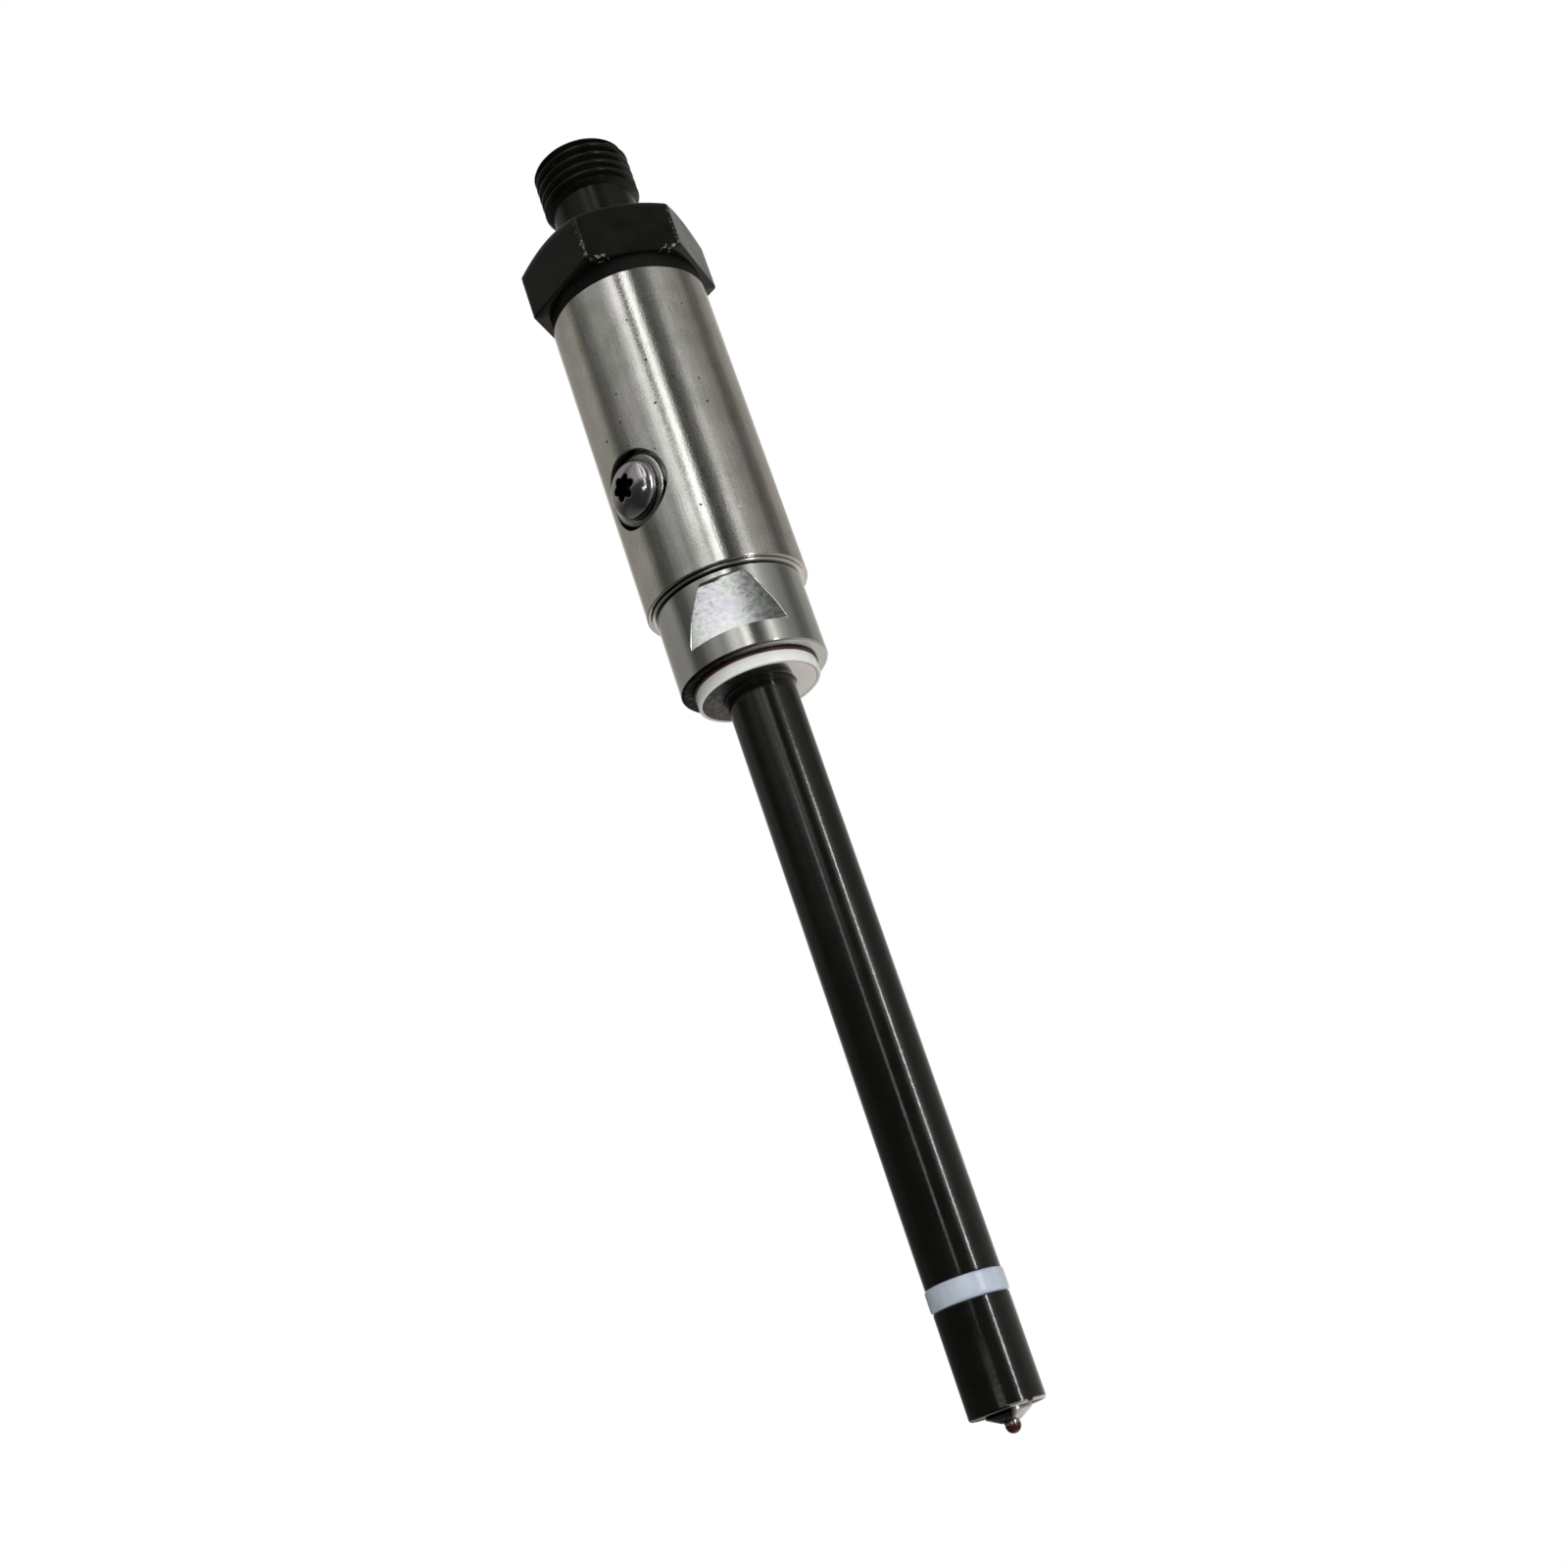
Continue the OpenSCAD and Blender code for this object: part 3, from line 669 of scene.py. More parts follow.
def make_inlet_fitting():
    count = 360
    edge = 0.14
    top_r = INLET_R - 0.7
    thread_z = INLET_TOP - THREAD_LEN
    hex_z = HEX_TOP - HEX_H
    slope = tan(radians(30))
    mouth_r = 3.6
    feed_r = 1.5
    cone_z = INLET_TOP - (mouth_r - feed_r) / slope
    pocket_r = 3.1
    screwed_r = 8.66
    nose_r = 6.4
    nose_z = GALLERY_Z + 0.8
    pocket_top = nose_z + 16

    def crown(far):
        return HEX_TOP - (far - HEX_CROWN_R) * slope

    neck = softened([(NECK_R, thread_z), (NECK_R, HEX_TOP, 0.7), (HEX_CROWN_R, HEX_TOP)])[:-1]
    rings = [circle(r, z, count) for r, z in neck]
    rings += [circle(HEX_CROWN_R - 0.12, HEX_TOP, count), circle(HEX_CROWN_R + 0.1, HEX_TOP - 0.08, count)]
    rings += [hex_ring(edge, lambda far: crown(far - edge)), hex_ring(0, lambda far: crown(far) - edge)]
    for share in (0.1, 0.3, 0.5, 0.7, 0.9):
        rings.append(hex_ring(0, lambda far: crown(far) - edge + (hex_z + 0.5 - crown(far)) * share))
    rings += [
        hex_ring(0, lambda far: hex_z + 0.35), hex_ring(0, lambda far: hex_z + edge),
        hex_ring(edge, lambda far: hex_z)]
    inside = softened([
        (FITTING_COLLAR_R, hex_z, 0.25), (FITTING_COLLAR_R, BARREL_TOP, 0.12), (screwed_r, BARREL_TOP),
        (screwed_r, nose_z + 4), (nose_r, nose_z + 4), (nose_r, nose_z, 0.2), (pocket_r, nose_z, 0.15),
        (pocket_r, pocket_top), (feed_r, pocket_top), (feed_r, cone_z), (mouth_r, INLET_TOP, 0.15),
        (top_r, INLET_TOP)])
    rings += [circle(r, z, count) for r, z in inside]
    body = skin(rings)
    thread = grown(
        "thread", thread_tree(), Radius=INLET_R * MM, Depth=THREAD_DEPTH * MM, Pitch=THREAD_PITCH * MM,
        Length=THREAD_LEN * MM, Start=thread_z * MM, Low_Radius=NECK_R * MM, High_Radius=top_r * MM,
        Columns=count, Rows=84, Finish=FITTING_BLACK)
    body.from_mesh(thread.data)
    bpy.data.objects.remove(thread)
    obj = piece("inlet_fitting_machined", body, sharp=50, weld=2e-6)

    def edges(p):
        if not hex_z - 0.01 < p.z < HEX_TOP + 0.01 or reach(p) < HEX_APOTHEM - 0.2:
            return 0.0
        if p.z < hex_z + 1.2 * edge:
            rubbed = any(first < bearing(p) < last for first, last in ((-12, -2), (37, 45), (150, 170)))
            return 0.75 if rubbed and reach(p) > HEX_APOTHEM - 0.02 else 0.0
        return 0.22 if reach(p) > HEX_CORNER_R - 0.02 else 0.0

    # Painted shade on the collar under the hexagon's overhang.
    def shaded(p):
        return 0.9 if BARREL_TOP < p.z < hex_z + 0.01 and reach(p) < FITTING_COLLAR_R + 0.5 else 0.0

    mark(obj, "recess", shaded)
    mark(obj, "edge", edges)
    finish_piece(obj, FITTING_BLACK, "holder", "black_steel", "inlet_fitting")


# --- barrel

def bleed_place():
    """Maps a local frame, with x across, y along +Z and z outward, to the bleed screw's axis."""
    up = Vector((0, 0, 1))
    turn = Matrix((up.cross(BLEED_OUT), up, BLEED_OUT)).transposed().to_4x4()
    return Matrix.Translation((0, 0, BLEED_Z * MM)) @ turn


def make_barrel():
    count = 288
    step = TURN / count
    half_columns = 30
    half_rows = 15
    row_h = 0.48
    edge = 0.16
    middle = round((-pi / 2 - BLEED_TURN) / step) % count
    off_grid = -pi / 2 - BLEED_TURN - middle * step
    low_z = RING_TOP
    socket_r = 8.72
    guide_r = 4.04
    spigot_r = 6.86
    port_r = 2.56
    port_z = 5.3
    patch = [BLEED_Z + row_h * i for i in range(-half_rows, half_rows + 1)]

    def ring(r, z):
        return [at(r, step * k + off_grid, z) for k in range(count)]

    side = [low_z + 0.2, low_z + 0.5, *patch, BARREL_TOP - 0.5, BARREL_TOP - 0.2]
    rings = [ring(BARREL_R, z) for z in side]
    inside = softened([
        (BARREL_R, BARREL_TOP, 0.18), (socket_r, BARREL_TOP, 0.1), (socket_r, GALLERY_Z),
        (CHAMBER_R, GALLERY_Z, 0.1), (CHAMBER_R, CHAMBER_Z), (guide_r, CHAMBER_Z), (guide_r, SPIGOT_Z),
        (spigot_r, SPIGOT_Z, 0.3), (spigot_r, low_z), (BARREL_R, low_z, 0.18)])
    rings += [ring(r, z) for r, z in inside]
    mesh = skin(rings, closed=True)

    # Clear the patch round the spot face out of the side
    doomed = []
    mesh.verts.ensure_lookup_table()
    half_width = half_columns * step
    for face in mesh.faces:
        mid = face.calc_center_median() / MM
        flat = Vector((mid.x, mid.y, 0))
        in_rows = patch[0] < mid.z < patch[-1]
        if in_rows and flat.length > BARREL_R - 0.02 and flat.angle(BLEED_OUT) < half_width:
            doomed.append(face)
    bmesh.ops.delete(mesh, geom=doomed, context="FACES")

    # Outline of the patch as (angle across, height), then rings that close in on the spot face
    wide = [i * step for i in range(-half_columns, half_columns + 1)]
    tall = [row_h * i for i in range(-half_rows, half_rows + 1)]
    outline = [(a, tall[0]) for a in wide[:-1]] + [(wide[-1], z) for z in tall[:-1]]
    outline += [(a, tall[-1]) for a in reversed(wide[1:])] + [(wide[0], z) for z in reversed(tall[1:])]
    heading = [atan2(z, BARREL_R * a) for a, z in outline]
    place = bleed_place()

    def on_side(angle, z):
        return (BARREL_R * sin(angle), z, BARREL_R * cos(angle))

    def round_spot(spot_r, drop):
        ring_points = [at(spot_r, turn, 0) for turn in heading]
        return [(x, y, sqrt(BARREL_R ** 2 - x ** 2) - drop) for x, y, z in ring_points]

    def level(spot_r, z):
        return [at(spot_r, turn, z) for turn in heading]

    spot = SPOT_R + edge
    inner = [(asin(spot * cos(turn) / BARREL_R), spot * sin(turn)) for turn in heading]
    closing = []
    for share in (0, 0.25, 0.5, 0.7, 0.85, 0.95, 1):
        closing.append([
            on_side(a + (b - a) * share, z + (y - z) * share) for (a, z), (b, y) in zip(outline, inner)])
    for bend in (30, 60, 90):
        tilt = radians(bend)
        closing.append(round_spot(SPOT_R + edge * (1 - sin(tilt)), edge * (1 - cos(tilt))))
    closing += [
        level(SPOT_R, SPOT_FLOOR + 0.08), level(SPOT_R - 0.08, SPOT_FLOOR),
        level(port_r + 0.34, SPOT_FLOOR), level(port_r, SPOT_FLOOR - 0.3), level(port_r, port_z),
        level(0, port_z)]
    cut = skin(closing)
    cut.transform(place)
    spare = plain("spare", cut)
    mesh.from_mesh(spare)
    bpy.data.meshes.remove(spare)
    obj = piece("barrel_turned", mesh, sharp=40, weld=3e-6)
    true_round(obj, BARREL_R)

    inward = place.inverted()

    # Painted shade in the spot face round the bleed screw: full on its floor, about half on its wall, none on
    # one side.
    def shade_mask(p):
        q = inward @ (p * MM) / MM
        if q.z < 0 or reach(q) > SPOT_R + 0.01:
            return 0.0
        share = 0.0 if q.x > 0.5 and q.y > -1.5 else 1.0
        return share if q.z < SPOT_FLOOR + 0.2 else 0.55 * share

    mark(obj, "recess", shade_mask)
    finish_piece(obj, BARREL_STEEL, "holder", "barrel_steel", "barrel")


def true_round(obj, r):
    """Sets exact radial normals on a cylinder of radius r, so that it reflects without ripples."""
    data = obj.data
    normals = [tuple(corner.vector) for corner in data.corner_normals]
    for face in data.polygons:
        radial = Vector((face.center.x, face.center.y, 0))
        if radial.length < (r - 0.02) * MM or face.normal.dot(radial.normalized()) < 0.995:
            continue
        for loop in face.loop_indices:
            co = data.vertices[data.loops[loop].vertex_index].co
            if abs(hypot(co.x, co.y) / MM - r) < 0.002:
                normals[loop] = tuple(Vector((co.x, co.y, 0)).normalized())
    data.normals_split_custom_set(normals)


# --- retaining nut and joint ring

def make_retaining_nut():
    on_flat = 40
    on_round = 110
    top = NUT_TOP
    rows = 24

    def flat_distance(z):
        return FLAT_REACH + (z - FLAT_LOW) * tan(FLAT_SLOPE)

    def angles(z):
        """Angles round the nut, gathered so that a flat's edges fall on the same columns at each height."""
        half = acos(flat_distance(min(max(z, FLAT_LOW), FLAT_TOP)) / NUT_R)
        out = []
        for side in (0, pi):
            start = -pi / 2 + side
            out += [start - half + 2 * half * k / on_flat for k in range(on_flat)]
            out += [start + half + (pi - 2 * half) * k / on_round for k in range(on_round)]
        return out

    def ring(r, z, flats=False):
        out = []
        for angle in angles(z):
            far = min(r, flat_distance(z) / max(abs(sin(angle)), 0.05)) if flats else r
            out.append(at(far, angle, z))
        return out

    outer = [
        ring(NUT_R - 0.32, NUT_LOW), ring(NUT_R - 0.22, NUT_LOW + 0.04), ring(NUT_R - 0.04, NUT_LOW + 0.22),
        ring(NUT_R, NUT_LOW + 0.32), ring(NUT_R, FLAT_LOW)]
    outer += [ring(NUT_R, FLAT_LOW + (FLAT_TOP - FLAT_LOW) * k / rows, flats=True) for k in range(rows + 1)]
    outer += [ring(NUT_R, FLAT_TOP), ring(NUT_R, top - 0.15), ring(NUT_R - 0.15, top)]
    inner = [ring(r, z) for r, z in (
        (NUT_BORE_R, top), (NUT_BORE_R, NUT_FLOOR), (COLLAR_R + 0.04, NUT_FLOOR), (COLLAR_R + 0.04, NUT_LOW))]
    obj = piece("retaining_nut_milled", skin(outer + inner, closed=True), sharp=12, weld=1e-6, bevel=0.05)
    true_round(obj, NUT_R)

    def flats(p):
        if not FLAT_LOW + 0.05 < p.z < FLAT_TOP - 0.05:
            return 0.0
        return 1.0 if abs(abs(p.y) - flat_distance(p.z)) < 0.02 else 0.0

    # Painted shade on the nut's underside and on the left of its top face, fading out towards the right.
    def shade_mask(p):
        turn = bearing(p)
        under = p.z < NUT_LOW + 0.25 or p.z > top - 0.05 and turn < 0
        return min(max((40 - turn) / 60, 0.0), max((turn + 150) / 30, 0.0), 1.0) if under else 0.0

    mark(obj, "milled", flats)
    mark(obj, "recess", shade_mask)
    finish_piece(obj, NUT_STEEL, "holder", "nut_steel", "retaining_nut")


def make_joint_ring():
    outer = radius("joint_ring")
    inner = NUT_BORE_R + 0.04
    profile = softened([
        (inner, RING_LOW), (outer, RING_LOW, 0.14), (outer, RING_TOP, 0.14), (inner, RING_TOP)])
    obj = turned("joint_ring_turned", profile)

    # Painted shade on the upper half of the ring's front-left side, under the barrel's edge.
    def shade_mask(p):
        turn = bearing(p)
        if p.z < (RING_LOW + RING_TOP) / 2 or not -130 < turn <= 4:
            return 0.0
        return min((4 - turn) / 16, (turn + 130) / 40, 0.9)

    mark(obj, "recess", shade_mask)
    finish_piece(obj, BRIGHT_STEEL, "holder", "bright_steel", "joint_ring")


# --- seat stack

def make_seat():
    inner = COLLAR_R + 0.05
    washer_r = radius("seat_washer")
    washer_top = high("seat_washer")
    plate_r = radius("seat_washer_plate")
    plate_top = high("seat_washer_plate")
    recess_r = plate_r + 0.05
    white = softened([
        (inner, plate_top + 0.03), (recess_r, plate_top + 0.03), (recess_r, 0, 0.05), (washer_r, 0, 0.16),
        (washer_r, washer_top, 0.16), (inner, washer_top)])
    finish_piece(turned("seat_washer_moulded", white, 240), WHITE_SEAL, "holder", "white_seal", "seat_washer")
    plate = softened([(inner, 0, 0.06), (plate_r, 0, 0.08), (plate_r, plate_top), (inner, plate_top)])
    obj = turned("seat_washer_face", plate, 240)
    # Painted shade: the left of the washer face is darker and duller, fading out towards the right.
    mark(obj, "recess", lambda p: 0.82 * min(max((3.5 - p.x) / 4, 0.0), 1.0))
    finish_piece(obj, WASHER_METAL, "holder", "washer_metal", "seat_washer_plate")
    seal_r = radius("seal_ring") - 0.1
    low_z, top_z = low("seal_ring"), high("seal_ring")
    seal = softened([(inner, low_z), (seal_r, low_z, 0.12), (seal_r, top_z, 0.12), (inner, top_z)])
    finish_piece(turned("seal_ring_moulded", seal, 240), RED_SEAL, "holder", "red_seal", "seal_ring")


# --- stem, dam and tip

def make_stem():
    dam_low, dam_top = low("carbon_dam"), high("carbon_dam")
    groove_r = STEM_R - 0.7
    tip_hole_r = 2.88
    end_z = STEM_END - 0.4
    flange_r = 6.6
    profile = softened([
        (tip_hole_r, end_z, 0.1), (STEM_R, end_z, 0.36), (STEM_R, dam_low - 0.05, 0.08),
        (groove_r, dam_low - 0.05), (groove_r, dam_top + 0.05), (STEM_R, dam_top + 0.05, 0.08),
        (STEM_R, -0.45, 0.1), (COLLAR_R, -0.12, 0.12), (COLLAR_R, NUT_FLOOR), (flange_r, NUT_FLOOR),
        (flange_r, STEM_TOP, 0.2), (STEM_BORE_R, STEM_TOP), (STEM_BORE_R, STEM_END + 12),
        (tip_hole_r, STEM_END + 12)])
    obj = turned("nozzle_stem_black", profile, 192)
    # The bare end edge is kept to the right-hand side: partly rubbed wear, partly a painted highlight where
    # light catches the edge.
    mark(obj, "edge", lambda p: 1.0 if p.z < end_z + 0.24 and reach(p) > STEM_R - 0.3 and p.x > -0.5 else 0.0)
    finish_piece(obj, STEM_BLACK, "holder", "stem_black", "nozzle_stem")
    dam_r = radius("carbon_dam")
    inner = STEM_R - 0.66
    ring = softened([(inner, dam_low), (dam_r, dam_low, 0.55), (dam_r, dam_top, 0.4), (inner, dam_top)], 6)
    finish_piece(turned("carbon_dam_ring", ring, 192), DAM_PLASTIC, "holder", "dam_plastic", "carbon_dam")


def tip_metal():
    """Ground steel that turns red-brown with heat towards the round end."""
    made, nodes, shader = material("tip steel")
    marks = use(nodes, GRAIN, Around=300.0, Along=2500.0, Grain=3000.0, Blotch=900.0)
    level = nodes.split(nodes.place())["Z"] + marks["Blotches"] * 0.0002
    burnt_z = (STEM_END - 1.95) * MM
    burnt = nodes.remap(level, burnt_z + 0.0003, burnt_z - 0.00005)
    base = nodes.blend(nodes.remap(marks["Blotches"], 0.3, 0.7), (0.5, 0.49, 0.48, 1), (0.36, 0.35, 0.34, 1))
    gloss = nodes.remap(marks["Blotches"], 0.3, 0.7, 0.14, 0.24)
    through_painted_shade(nodes, shader, nodes.blend(burnt, base, (0.045, 0.011, 0.008, 1)), gloss)
    nodes.feed(shader, {"Metallic": burnt * -0.8 + 1.0})
    bumped(nodes, shader, marks["Lines"], 0.3)
    return made


def drilled_tree():
    """Spray holes: drills set round the axis, each tilted down, cut out of the tip."""
    g = Nodes.shape("spray holes", {
        "Holes": 4, "Hole Radius": 0.00015, "Reach": 0.0015, "Height": -0.0975, "Tilt": radians(115)})
    ends = g.ends()
    drill = g.add("GeometryNodeMeshCylinder", {
        "Vertices": 20, "Radius": ends["Hole Radius"], "Depth": ends["Reach"]})
    out_of_axis = g.add("GeometryNodeTransform", {
        "Geometry": drill.outputs["Mesh"], "Translation": g.xyz(Z=ends["Reach"] * 0.62)})
    points = g.add("GeometryNodeMeshLine", {"Count": ends["Holes"]})
    gathered = g.add("GeometryNodeSetPosition", {
        "Geometry": points.outputs[0], "Position": g.xyz(Z=ends["Height"])})
    share = (g.read(g.add("GeometryNodeInputIndex"))["Index"] + 0.5) / ends["Holes"]
    turn = g.add("FunctionNodeEulerToRotation", {0: g.xyz(Y=ends["Tilt"], Z=share * TURN)})
    drills = g.add("GeometryNodeInstanceOnPoints", {
        "Points": gathered.outputs[0], "Instance": out_of_axis.outputs[0], "Rotation": turn.outputs[0]})
    cut = g.add(
        "GeometryNodeMeshBoolean", {"Mesh 1": ends["Geometry"], "Mesh 2": drills.outputs[0]},
        operation="DIFFERENCE", solver="EXACT")
    return g.give_shape(cut.outputs["Mesh"], ends["Finish"])


def make_tip():
    r = 2.85
    sac_r = 0.95
    sac_z = STEM_END - 2.1
    step_z = STEM_END - 0.72
    bore_r = 1.6
    sac_hole_r = 0.5
    seat_z = STEM_END + 1.2
    seat_h = (bore_r - sac_hole_r) / tan(radians(30))
    top = STEM_END + 12
    ball = [(sac_r * cos(a), sac_z + sac_r * sin(a)) for a in (radians(d) for d in range(-90, 13, 6))]
    hollow = [
        (sac_hole_r * cos(a), sac_z - 0.1 + sac_hole_r * sin(a))
        for a in (radians(d) for d in range(0, -91, -15))]
    outside = softened([(1.02, sac_z + 0.36, 0.16), (r, step_z, 0.1), (r, top, 0.2), (bore_r, top)])
    profile = ball + outside + [(bore_r, seat_z), (sac_hole_r, seat_z - seat_h)] + hollow
    finish = tip_metal()
    obj = turned("nozzle_tip_ground", profile, 128, sharp=42)
    obj = drive(
        obj, drilled_tree(), Holes=4, Hole_Radius=0.15 * MM, Reach=1.4 * MM, Height=(sac_z - 0.1) * MM,
        Finish=finish)

    # Painted shade on the front and left of the tip's upper part, below the stem's end.
    def tip_shade(p):
        turn = bearing(p)
        if p.z < sac_z + 0.2 or not -80 < turn < 25:
            return 0.0
        return min((25 - turn) / 20, (turn + 80) / 20, 1.0)

    mark(obj, "recess", tip_shade)
    finish_piece(obj, finish, "holder", "tip_steel", "nozzle_tip")


# --- bleed screw

def make_bleed_screw():
    count = 180
    place = bleed_place()
    rim_z = HEAD_Z + 0.35
    crown = (HEAD_H - 0.35) / sqrt(1 - (STAR_R / HEAD_R) ** 2)
    floor = HEAD_Z + HEAD_H - 1.5
    shank_r = 2.5
    shank_z = HEAD_Z - 4.9
    lip_r = 4.5
    face_r = 4.4

    def star_reach(angle):
        """Outline of the six-lobe recess."""
        wave = cos(6 * angle + 0.6)
        return STAR_R * (0.89 + 0.11 * wave * (1.3 - 0.3 * wave))

    def dome_z(far):
        return rim_z + crown * sqrt(max(1 - (far / HEAD_R) ** 2, 0))

    def dome(share):
        """A ring on the domed head, from its rim at 0 to the edge of the recess at 1."""
        angles = [TURN * k / count for k in range(count)]
        spread = [(HEAD_R + (star_reach(angle) - HEAD_R) * share, angle) for angle in angles]
        return [at(far, angle, dome_z(far)) for far, angle in spread]

    def recess(scale, drop):
        """A ring inside the recess, drop below the dome or down at the floor."""
        return [(x * scale, y * scale, max(z - drop, floor)) for x, y, z in dome(1)]

    rings = [circle(r, z, count) for r, z in (
        (0, shank_z), (shank_r - 0.5, shank_z), (shank_r, shank_z + 0.5), (shank_r, HEAD_Z),
        (HEAD_R - 0.12, HEAD_Z), (HEAD_R, HEAD_Z + 0.12))]
    rings += [dome(1 - cos(radians(7.5 * k))) for k in range(0, 12)] + [dome(0.96)]
    rings += [
        recess(0.985, 0.05), recess(0.98, 0.12), recess(0.97, 3), recess(0.6, 3),
        circle(0, floor - 0.3, count)]
    obj = piece("bleed_screw_button", skin(rings), place, sharp=40, weld=1e-7)
    inward = place.inverted()

    # Painted shade in the six-lobe recess and under the head.
    def screw_shade(p):
        q = inward @ (p * MM) / MM
        in_star = reach(q) < STAR_R and q.z < dome_z(reach(q)) - 0.03
        return 1.0 if q.z < HEAD_Z + 0.02 or in_star else 0.0

    mark(obj, "recess", screw_shade)
    finish_piece(obj, SCREW_STEEL, "bleed_screw", "bright_steel", "bleed_screw")
    base = BLEED_WASHER_Z
    upper = base + BLEED_WASHER_H
    profile = softened([
        (2.6, base), (BLEED_WASHER_R, base, 0.15), (BLEED_WASHER_R, upper - 0.1, 0.25),
        (lip_r, upper, 0.05), (face_r, upper - 0.06, 0.05), (2.6, upper - 0.06)])
    obj = turned("bleed_washer_pressed", profile, 180, place)
    # Painted shade on the washer's inner face, under the screw head.
    mark(obj, "recess", lambda p: 1.0 if reach(inward @ (p * MM) / MM) < face_r - 0.1 else 0.0)
    finish_piece(obj, BRIGHT_STEEL, "bleed_carrier", "bright_steel", "bleed_washer")


# --- valve spring

def coil_tree():
    """A round-wire coil whose end turns lie closed."""
    g = Nodes.shape("coil spring", {
        "Coil Radius": 0.0036, "Wire Radius": 0.00075, "Height": 0.017, "Start": 0.0256, "Turns": 8.0})
    ends = g.ends()
    line = g.add("GeometryNodeCurvePrimitiveLine")
    steps = g.add("GeometryNodeResampleCurve", {"Curve": line.outputs[0], "Count": 385})
    turns = g.read(g.add("GeometryNodeSplineParameter"))["Factor"] * ends["Turns"]
    wire = ends["Wire Radius"] * 2.06
    free = ends["Height"] - ends["Wire Radius"] * 2.0 - wire * 2.0
    first = g.math("MINIMUM", turns, 1.0) * wire
    middle = g.math("DIVIDE", turns - 1.0, ends["Turns"] - 2.0, clamp=True) * free
    last = g.math("MAXIMUM", turns - (ends["Turns"] - 1.0), 0.0) * wire
    height = first + middle + last + ends["Start"] + ends["Wire Radius"]
    place = g.round_axis(ends["Coil Radius"], turns * TURN, height)
    path = g.add("GeometryNodeSetPosition", {"Geometry": steps.outputs[0], "Position": place})
    section = g.add("GeometryNodeCurvePrimitiveCircle", {"Resolution": 20, "Radius": ends["Wire Radius"]})
    coil = g.add("GeometryNodeCurveToMesh", {
        "Curve": path.outputs[0], "Profile Curve": section.outputs["Curve"], "Fill Caps": True})
    return g.give_shape(coil.outputs[0], ends["Finish"])


def make_spring():
    spigot_h = 5.0
    start = high("spring_seat") - spigot_h
    top = low("pressure_shims")
    obj = grown(
        "valve_spring_wound", coil_tree(), Coil_Radius=3.6 * MM, Wire_Radius=0.75 * MM,
        Height=(top - start) * MM, Start=start * MM, Turns=8.0, Finish=SPRING_STEEL)
    obj.data.shade_smooth()
    finish_piece(obj, SPRING_STEEL, "holder", "spring_steel", "valve_spring")
    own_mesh(obj)


# --- hidden pieces keep their CAD shape

def finish_inner_pieces():
    finishes = {
        GROUND_STEEL: ("needle_valve", "spring_seat", "valve_guide", "upper_spring_seat", "lift_stop_pin",
                       "guide_dowels", "pressure_shims", "filter_clip"),
        COPPER: ("inlet_gasket", "stem_gasket"),
        FILTER_BRASS: ("filter_collar", "filter_screen", "filter_end_cap"),
    }
    for finish, names in finishes.items():
        for name in names:
            dress(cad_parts[name], finish)


# --- stage, lights and camera

def make_stage():
    drop = 0.35
    size = 0.9
    floor_z = cad_box[0][2] - drop
    mesh = bmesh.new()
    corners = ((-size, -size), (size, -size), (size, size), (-size, size))
    mesh.faces.new([mesh.verts.new((x, y, floor_z)) for x, y in corners])
    floor = placed("floor", plain("floor", mesh))
    made, nodes, shader = material("floor paper")
    fibre = nodes.noise(nodes.place(), 40.0, 2.0, 0.5)
    seen = nodes.read(nodes.add("ShaderNodeLightPath"))["Is Camera Ray"]
    nodes.feed(shader, {
        "Base Color": nodes.blend(fibre, (0.86, 0.86, 0.855, 1), (0.9, 0.9, 0.895, 1)), "Roughness": 0.9,
        "Emission Color": (1, 1, 1, 1), "Emission Strength": seen * 0.55})
    floor.data.materials.append(made)
    floor.visible_glossy = False


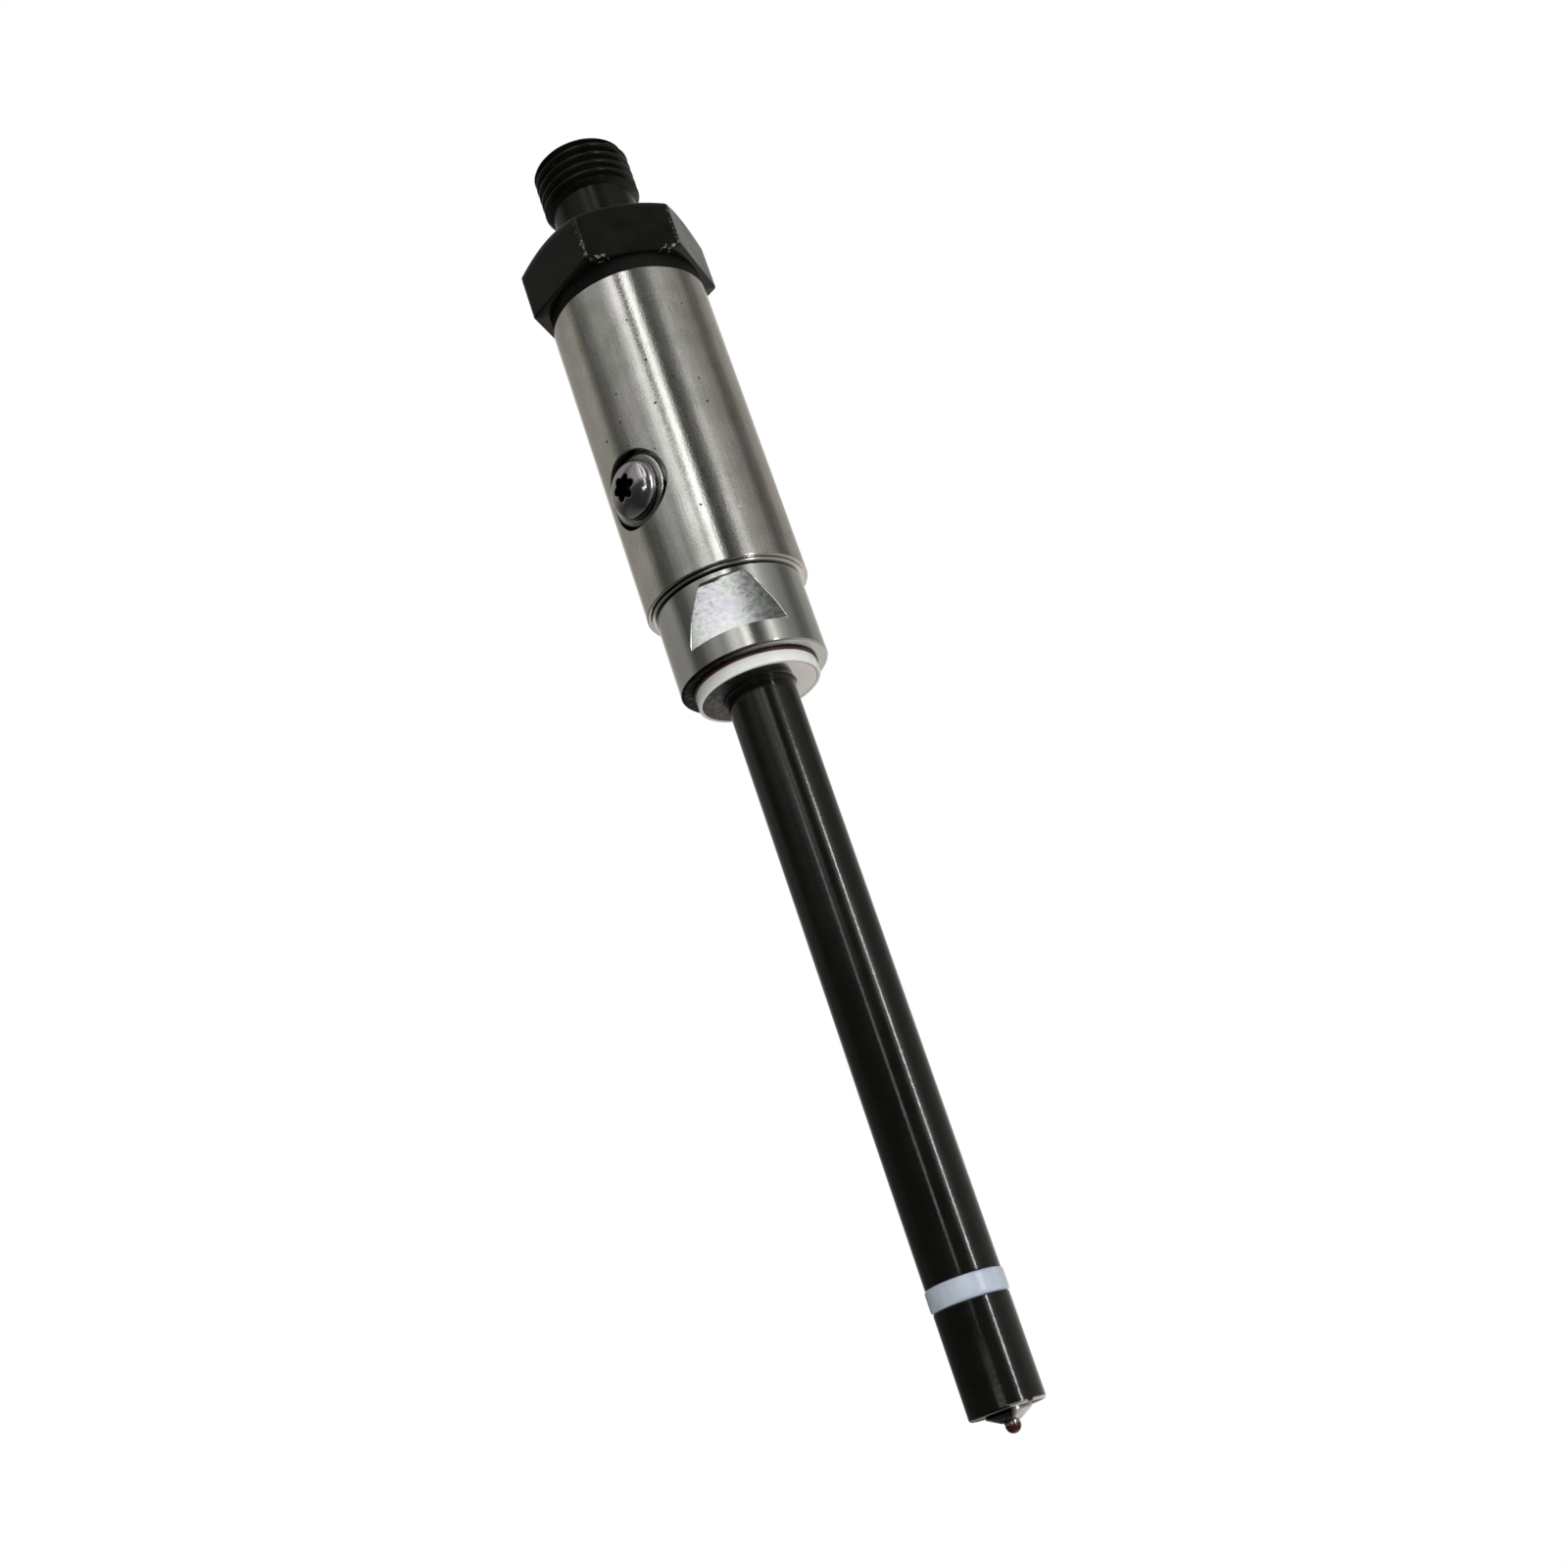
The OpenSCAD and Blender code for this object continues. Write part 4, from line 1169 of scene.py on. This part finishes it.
# Brightness of the room at five heights, from well below the horizon to high up. Each height has pairs of the
# angle from the camera's side in degrees, positive to the right, and the brightness there.
ROOM = (
    (-0.30, (
        (-180, 0.62), (-172, 0.5), (-150, 0.25), (-120, 0.12), (-60, 0.03), (0, 0.04), (30, 0.08),
        (60, 0.25), (120, 0.45), (165, 0.75), (180, 0.62))),
    (-0.02, (
        (-180, 0.04), (-165, 0.06), (-120, 0.04), (-60, 0.03), (0, 0.04), (30, 0.08), (60, 0.25),
        (120, 0.4), (165, 0.65), (180, 0.04))),
    (0.25, (
        (-180, 0.9), (-160, 0.4), (-140, 0.16), (-120, 0.12), (-96, 0.12), (-80, 0.06), (-40, 0.05),
        (-16, 0.08), (0, 0.1), (10, 0.06), (32, 0.1), (39, 0.9), (48, 1.2), (57, 0.9), (66, 0.35),
        (78, 0.2), (110, 0.22), (140, 0.35), (160, 0.6), (180, 0.9))),
    (0.46, (
        (-180, 0.95), (-166, 0.55), (-150, 0.28), (-128, 0.3), (-98, 0.34), (-90, 0.2), (-82, 0.08),
        (-66, 0.1), (-54, 0.26), (-38, 0.46), (-28, 0.34), (-20, 0.65), (-13, 1.05), (-7, 1.15),
        (-3.5, 0.85), (0, 0.9), (3, 1.4), (6.5, 2.2), (10.5, 2.0), (15, 0.4), (18.5, 0.05), (25, 0.06),
        (37, 0.16), (44, 0.7), (50, 0.85), (58, 0.45), (84, 0.28), (102, 0.1), (114, 0.14), (130, 0.32),
        (160, 0.36), (180, 0.95))),
    (0.57, (
        (-180, 0.9), (-166, 0.5), (-150, 0.28), (-128, 0.29), (-98, 0.34), (-89, 0.21), (-82, 0.12),
        (-68, 0.2), (-54, 0.35), (-32, 0.36), (-22, 0.6), (-13, 1.1), (-7.5, 1.2), (-4.5, 0.1), (0, 0.0),
        (2.5, 0.1), (6, 1.6), (11.5, 1.6), (16, 0.6), (20, 0.12), (27, 0.12), (40, 0.18), (50, 0.4),
        (58, 0.45), (68, 0.35), (86, 0.28), (102, 0.14), (114, 0.17), (126, 0.3), (146, 0.34), (162, 0.5),
        (180, 0.9))),
)
ROOM_PEAK = 2.4
ROOM_GAIN = 1.25
LAMP_DISTANCE = 0.9


def make_room():
    world = bpy.data.worlds.new("studio")
    bpy.context.scene.world = world
    world.use_nodes = True
    nodes = Nodes(world.node_tree)
    back = world.node_tree.nodes["Background"]
    way = nodes.split(nodes.add("ShaderNodeTexCoord").outputs["Generated"])
    share = nodes.remap(nodes.math("ARCTAN2", way["X"], way["Y"] * -1.0), -pi, pi)
    colour = None
    below = None
    for height, levels in ROOM:
        ramp = nodes.add("ShaderNodeValToRGB", {"Fac": share})
        stops = ramp.color_ramp
        stops.interpolation = "EASE"
        stops.elements.remove(stops.elements[0])
        for i, (angle, level) in enumerate(levels):
            spot = (angle + 180) / 360
            stop = stops.elements[0] if i == 0 else stops.elements.new(spot)
            stop.position = spot
            warm = 0.02 + 0.02 * min(abs(angle) / 120, 1)
            glow = level / ROOM_PEAK
            stop.color = (glow * (1 + warm), glow, glow * (1 - 1.3 * warm), 1)
        above = ramp.outputs["Color"]
        colour = nodes.blend(nodes.remap(way["Z"], below, height), colour, above) if colour else above
        below = height
    seen = nodes.add("ShaderNodeLightPath").outputs["Is Camera Ray"]
    room = nodes.scaled(colour, ROOM_PEAK * ROOM_GAIN)
    nodes.feed(back, {"Color": nodes.blend(seen, room, (1, 1, 1, 1))})


def soft_box(name, angle, z, width, height, power):
    """A flat lamp that faces the injector. angle is in degrees, from the front round to the right."""
    light = bpy.data.lights.new(name, "AREA")
    light.shape = "RECTANGLE"
    light.size = width
    light.size_y = height
    light.energy = power
    obj = placed(name, light)
    turn = radians(angle)
    obj.location = (LAMP_DISTANCE * sin(turn), -LAMP_DISTANCE * cos(turn), z)
    aim = Vector((0, 0, z)) - obj.location
    obj.rotation_euler = aim.to_track_quat("-Z", "Y").to_euler()
    obj.visible_camera = False
    return obj


def make_lights():
    soft_box("right strip", 48, 0.01, 0.045, 0.62, 2.1)
    soft_box("front strip", -3, 0.17, 0.09, 0.3, 0.215)
    soft_box("low card", -9.5, -0.112, 0.36, 0.1, 0.345)
    fill = soft_box("plastic fill", 5, -0.25, 0.5, 0.5, 2.6)
    fill.visible_glossy = False


def make_camera():
    camera = bpy.data.cameras.new("camera")
    camera.sensor_width = 36
    camera.lens = 48.4
    camera.clip_start = 0.01
    camera.clip_end = 50
    obj = placed("camera", camera)
    bpy.context.scene.camera = obj
    distance = 0.25635
    height = -0.10898
    climb = radians(20.46)
    swing = radians(-0.22)
    roll = radians(-18.96)
    forward = Vector((cos(climb) * sin(swing), cos(climb) * cos(swing), sin(climb)))
    turn = forward.to_track_quat("-Z", "Y").to_matrix().to_4x4()
    obj.matrix_world = Matrix.Translation((0, -distance, height)) @ turn @ Matrix.Rotation(roll, 4, "Z")


make_camera()
make_inlet_fitting()
make_barrel()
make_retaining_nut()
make_joint_ring()
make_seat()
make_stem()
make_tip()
make_bleed_screw()
make_spring()
finish_inner_pieces()
make_stage()
make_room()
make_lights()
bpy.context.scene.view_settings.view_transform = "Standard"
